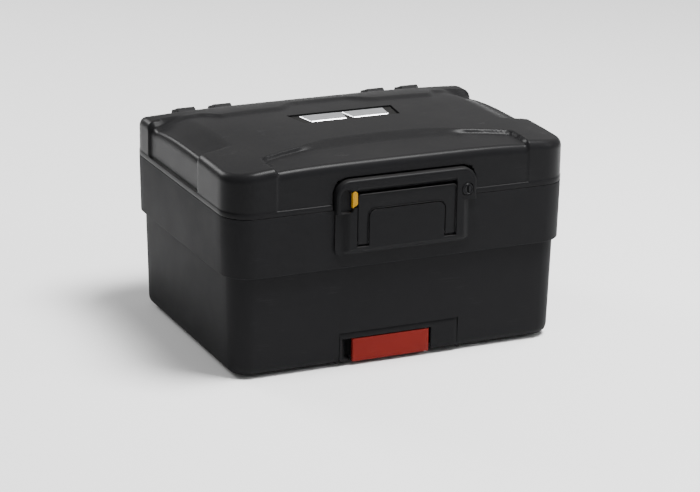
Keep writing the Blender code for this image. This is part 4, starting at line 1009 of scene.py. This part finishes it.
# %% [markdown]
# ## Hinges
# Each lid hinge is a plate on the rear wall with two ribs that wrap over the lid's top edge, ending in
# knuckles; the base on the upper shell carries the knuckle between them.  Their outlines are carried
# sideways and their edges rounded with a Bevel.

# %% Hinges
hinge_y = joint_place("lid_hinge")[1]
REAR, LEAF_Z = HALF_D + GAP, SEAM_Z + 7.5
RIB_X, RIB_W, KNUCKLE, PIN_HOLE = (98.0, 143.0), 21.0, 6.0, 2.8


def rib_outline(lo, hi):
    """Side view of a rib, as (y, z): the knuckle, up the rear wall, over the lid's edge and back underneath."""
    probe = np.array([lo, (lo + hi) / 2, hi])
    zc = float(lid_height(probe, np.full(3, HALF_D - LID_IN)).max())
    zf = float(lid_height(probe, np.full(3, HALF_D - 20.0)).max())
    return np.concatenate([[(REAR, zc - 9.5), (REAR, SEAM_Z + 4)], arc(hinge_y, SEAM_Z, KNUCKLE, 190, 390, 20),
                           [(REAR + 5.5, LEAF_Z + 6), (REAR + 5.5, zc - 10), (REAR + 4.6, zc - 4.0),
                            (REAR + 1.6, zc + 1.2), (HALF_D - 7, zc + 4.0), (HALF_D - 15, zf + 3.6),
                            (HALF_D - 19, zf + 2.2), (HALF_D - 20.5, zf + 0.6), (HALF_D - LID_IN, zc + 0.6),
                            (HALF_D - LID_IN + 4.0, zc - 0.6), (HALF_D - 0.8, zc - 3.4)]])


for name, s in (("left", -1), ("right", 1)):
    spans = [sorted((s * (c - RIB_W / 2), s * (c + RIB_W / 2))) for c in RIB_X]
    (first, first_caps), second = (prism(rib_outline(*span), 0, *span) for span in spans)
    leaf = make_piece(f"hinge_leaf_{name}_fine", [first], SHELL_BLACK, "lid",
                      [f"hinge_leaf_{name}"], caps=first_caps)
    carve(leaf, *second, "UNION")
    lo, hi = sorted((s * (RIB_X[0] - RIB_W / 2 + 0.4), s * (RIB_X[1] + RIB_W / 2 - 0.4)))
    edge_z = float(lid_height(np.array(s * 120.0), HALF_D - LID_IN))
    carve(leaf, *block(lo, hi, REAR + 0.2, REAR + 3.8, LEAF_Z, edge_z - 14), "UNION")
    carve(leaf, *prism(arc(hinge_y, SEAM_Z, PIN_HOLE, 0, 348, 29), 0, -HALF_W, HALF_W))
    bevelled(leaf, 0.8, angle=35)
print("hinge axis at y", round(hinge_y, 1), "mm")

# %% [markdown]
# ## Inside
# A shallow liner closes the lid from below, a seal runs round under it and a ribbed mat lies on the floor.
# The liner and the seal are swept round the case's outline, so they follow its corners for nothing.

# %% Liner, seal and mat
spots, normals = outline_points(step=10.0, corner=14)
liner_low, liner_high = mm_box("lid_liner")
inset = HALF_W - liner_high[0]
tray = rounded_profile([(inset + 2, liner_low[2]), (inset + 2, liner_high[2] - 8), (inset + 10, liner_high[2] - 2)],
                       (0, 2.5, 0))
tray_up = rounded_profile([(inset + 9, liner_high[2]), (inset, liner_high[2] - 7), (inset, liner_low[2])], (0, 2, 0))
inside = carry_round(spots, normals, tray[:, 0], tray[:, 1])
outside = carry_round(spots, normals, tray_up[:, 0], tray_up[:, 1])
panel = shrink_rings(inside[-1], [0.96, 0.9, 0.5, 0])
panel[..., 2] -= np.array([0.2, 1.6, 1.6, 1.6])[:, None]      # a raised panel in the middle of the liner
liner_rows = np.concatenate([shrink_rings(outside[0], [0, 0.5]), outside, inside, panel])
make_piece("lid_liner_fine", [ring_sheet(liner_rows)], DEEP_BLACK, "lid", ["lid_liner"])

seal_low, seal_high = mm_box("lid_seal")
seal_in, seal_mid = HALF_W - seal_high[0], (seal_low[2] + seal_high[2]) / 2
BEAD_W, BEAD_H = 2.6, 3.1
a = np.linspace(0, 2 * math.pi, 14, endpoint=False)
seal_rows = carry_round(spots, normals, seal_in + BEAD_W / 2 * (1 - np.cos(a)), seal_mid + BEAD_H / 2 * np.sin(a))
make_piece("lid_seal_fine", [ring_sheet(seal_rows, True)], RUBBER, "upper", ["lid_seal"])

mat_low, mat_high = mm_box("floor_mat")
x, y = np.meshgrid(graded(mat_low[0], mat_high[0], 1.5), graded(mat_low[1], mat_high[1], 5.0))
edge_in = np.minimum.reduce([x - mat_low[0], mat_high[0] - x, y - mat_low[1], mat_high[1] - y])
RIB_H, RIB_PITCH = 0.7, 9.0
ribs = RIB_H / 2 * (1 + np.cos(2 * math.pi * x / RIB_PITCH)) * smooth_step(edge_in, 3.0, 6.0)
make_piece("floor_mat_fine", [two_faced_up(x, y, mat_high[2] - RIB_H + ribs, np.full_like(x, mat_low[2]))], RUBBER,
           "base", ["floor_mat"])

# %% [markdown]
# ## Floor
# The studio floor is part of the stage, so it rides on nothing.

# %% Stage
floor_mesh = bpy.data.meshes.new("studio_floor")
floor_mesh.from_pydata([(-8, -8, 0), (8, -8, 0), (8, 8, 0), (-8, 8, 0)], [], [(0, 1, 2, 3)])
floor = bpy.data.objects.new("studio_floor", floor_mesh)
bpy.context.scene.collection.objects.link(floor)
paper = bpy.data.materials.new("pale_paper")
paper.use_nodes = True
paper.node_tree.nodes["Principled BSDF"].inputs["Base Color"].default_value = (0.82, 0.82, 0.82, 1)
paper.node_tree.nodes["Principled BSDF"].inputs["Roughness"].default_value = 0.8
floor_mesh.materials.append(paper)
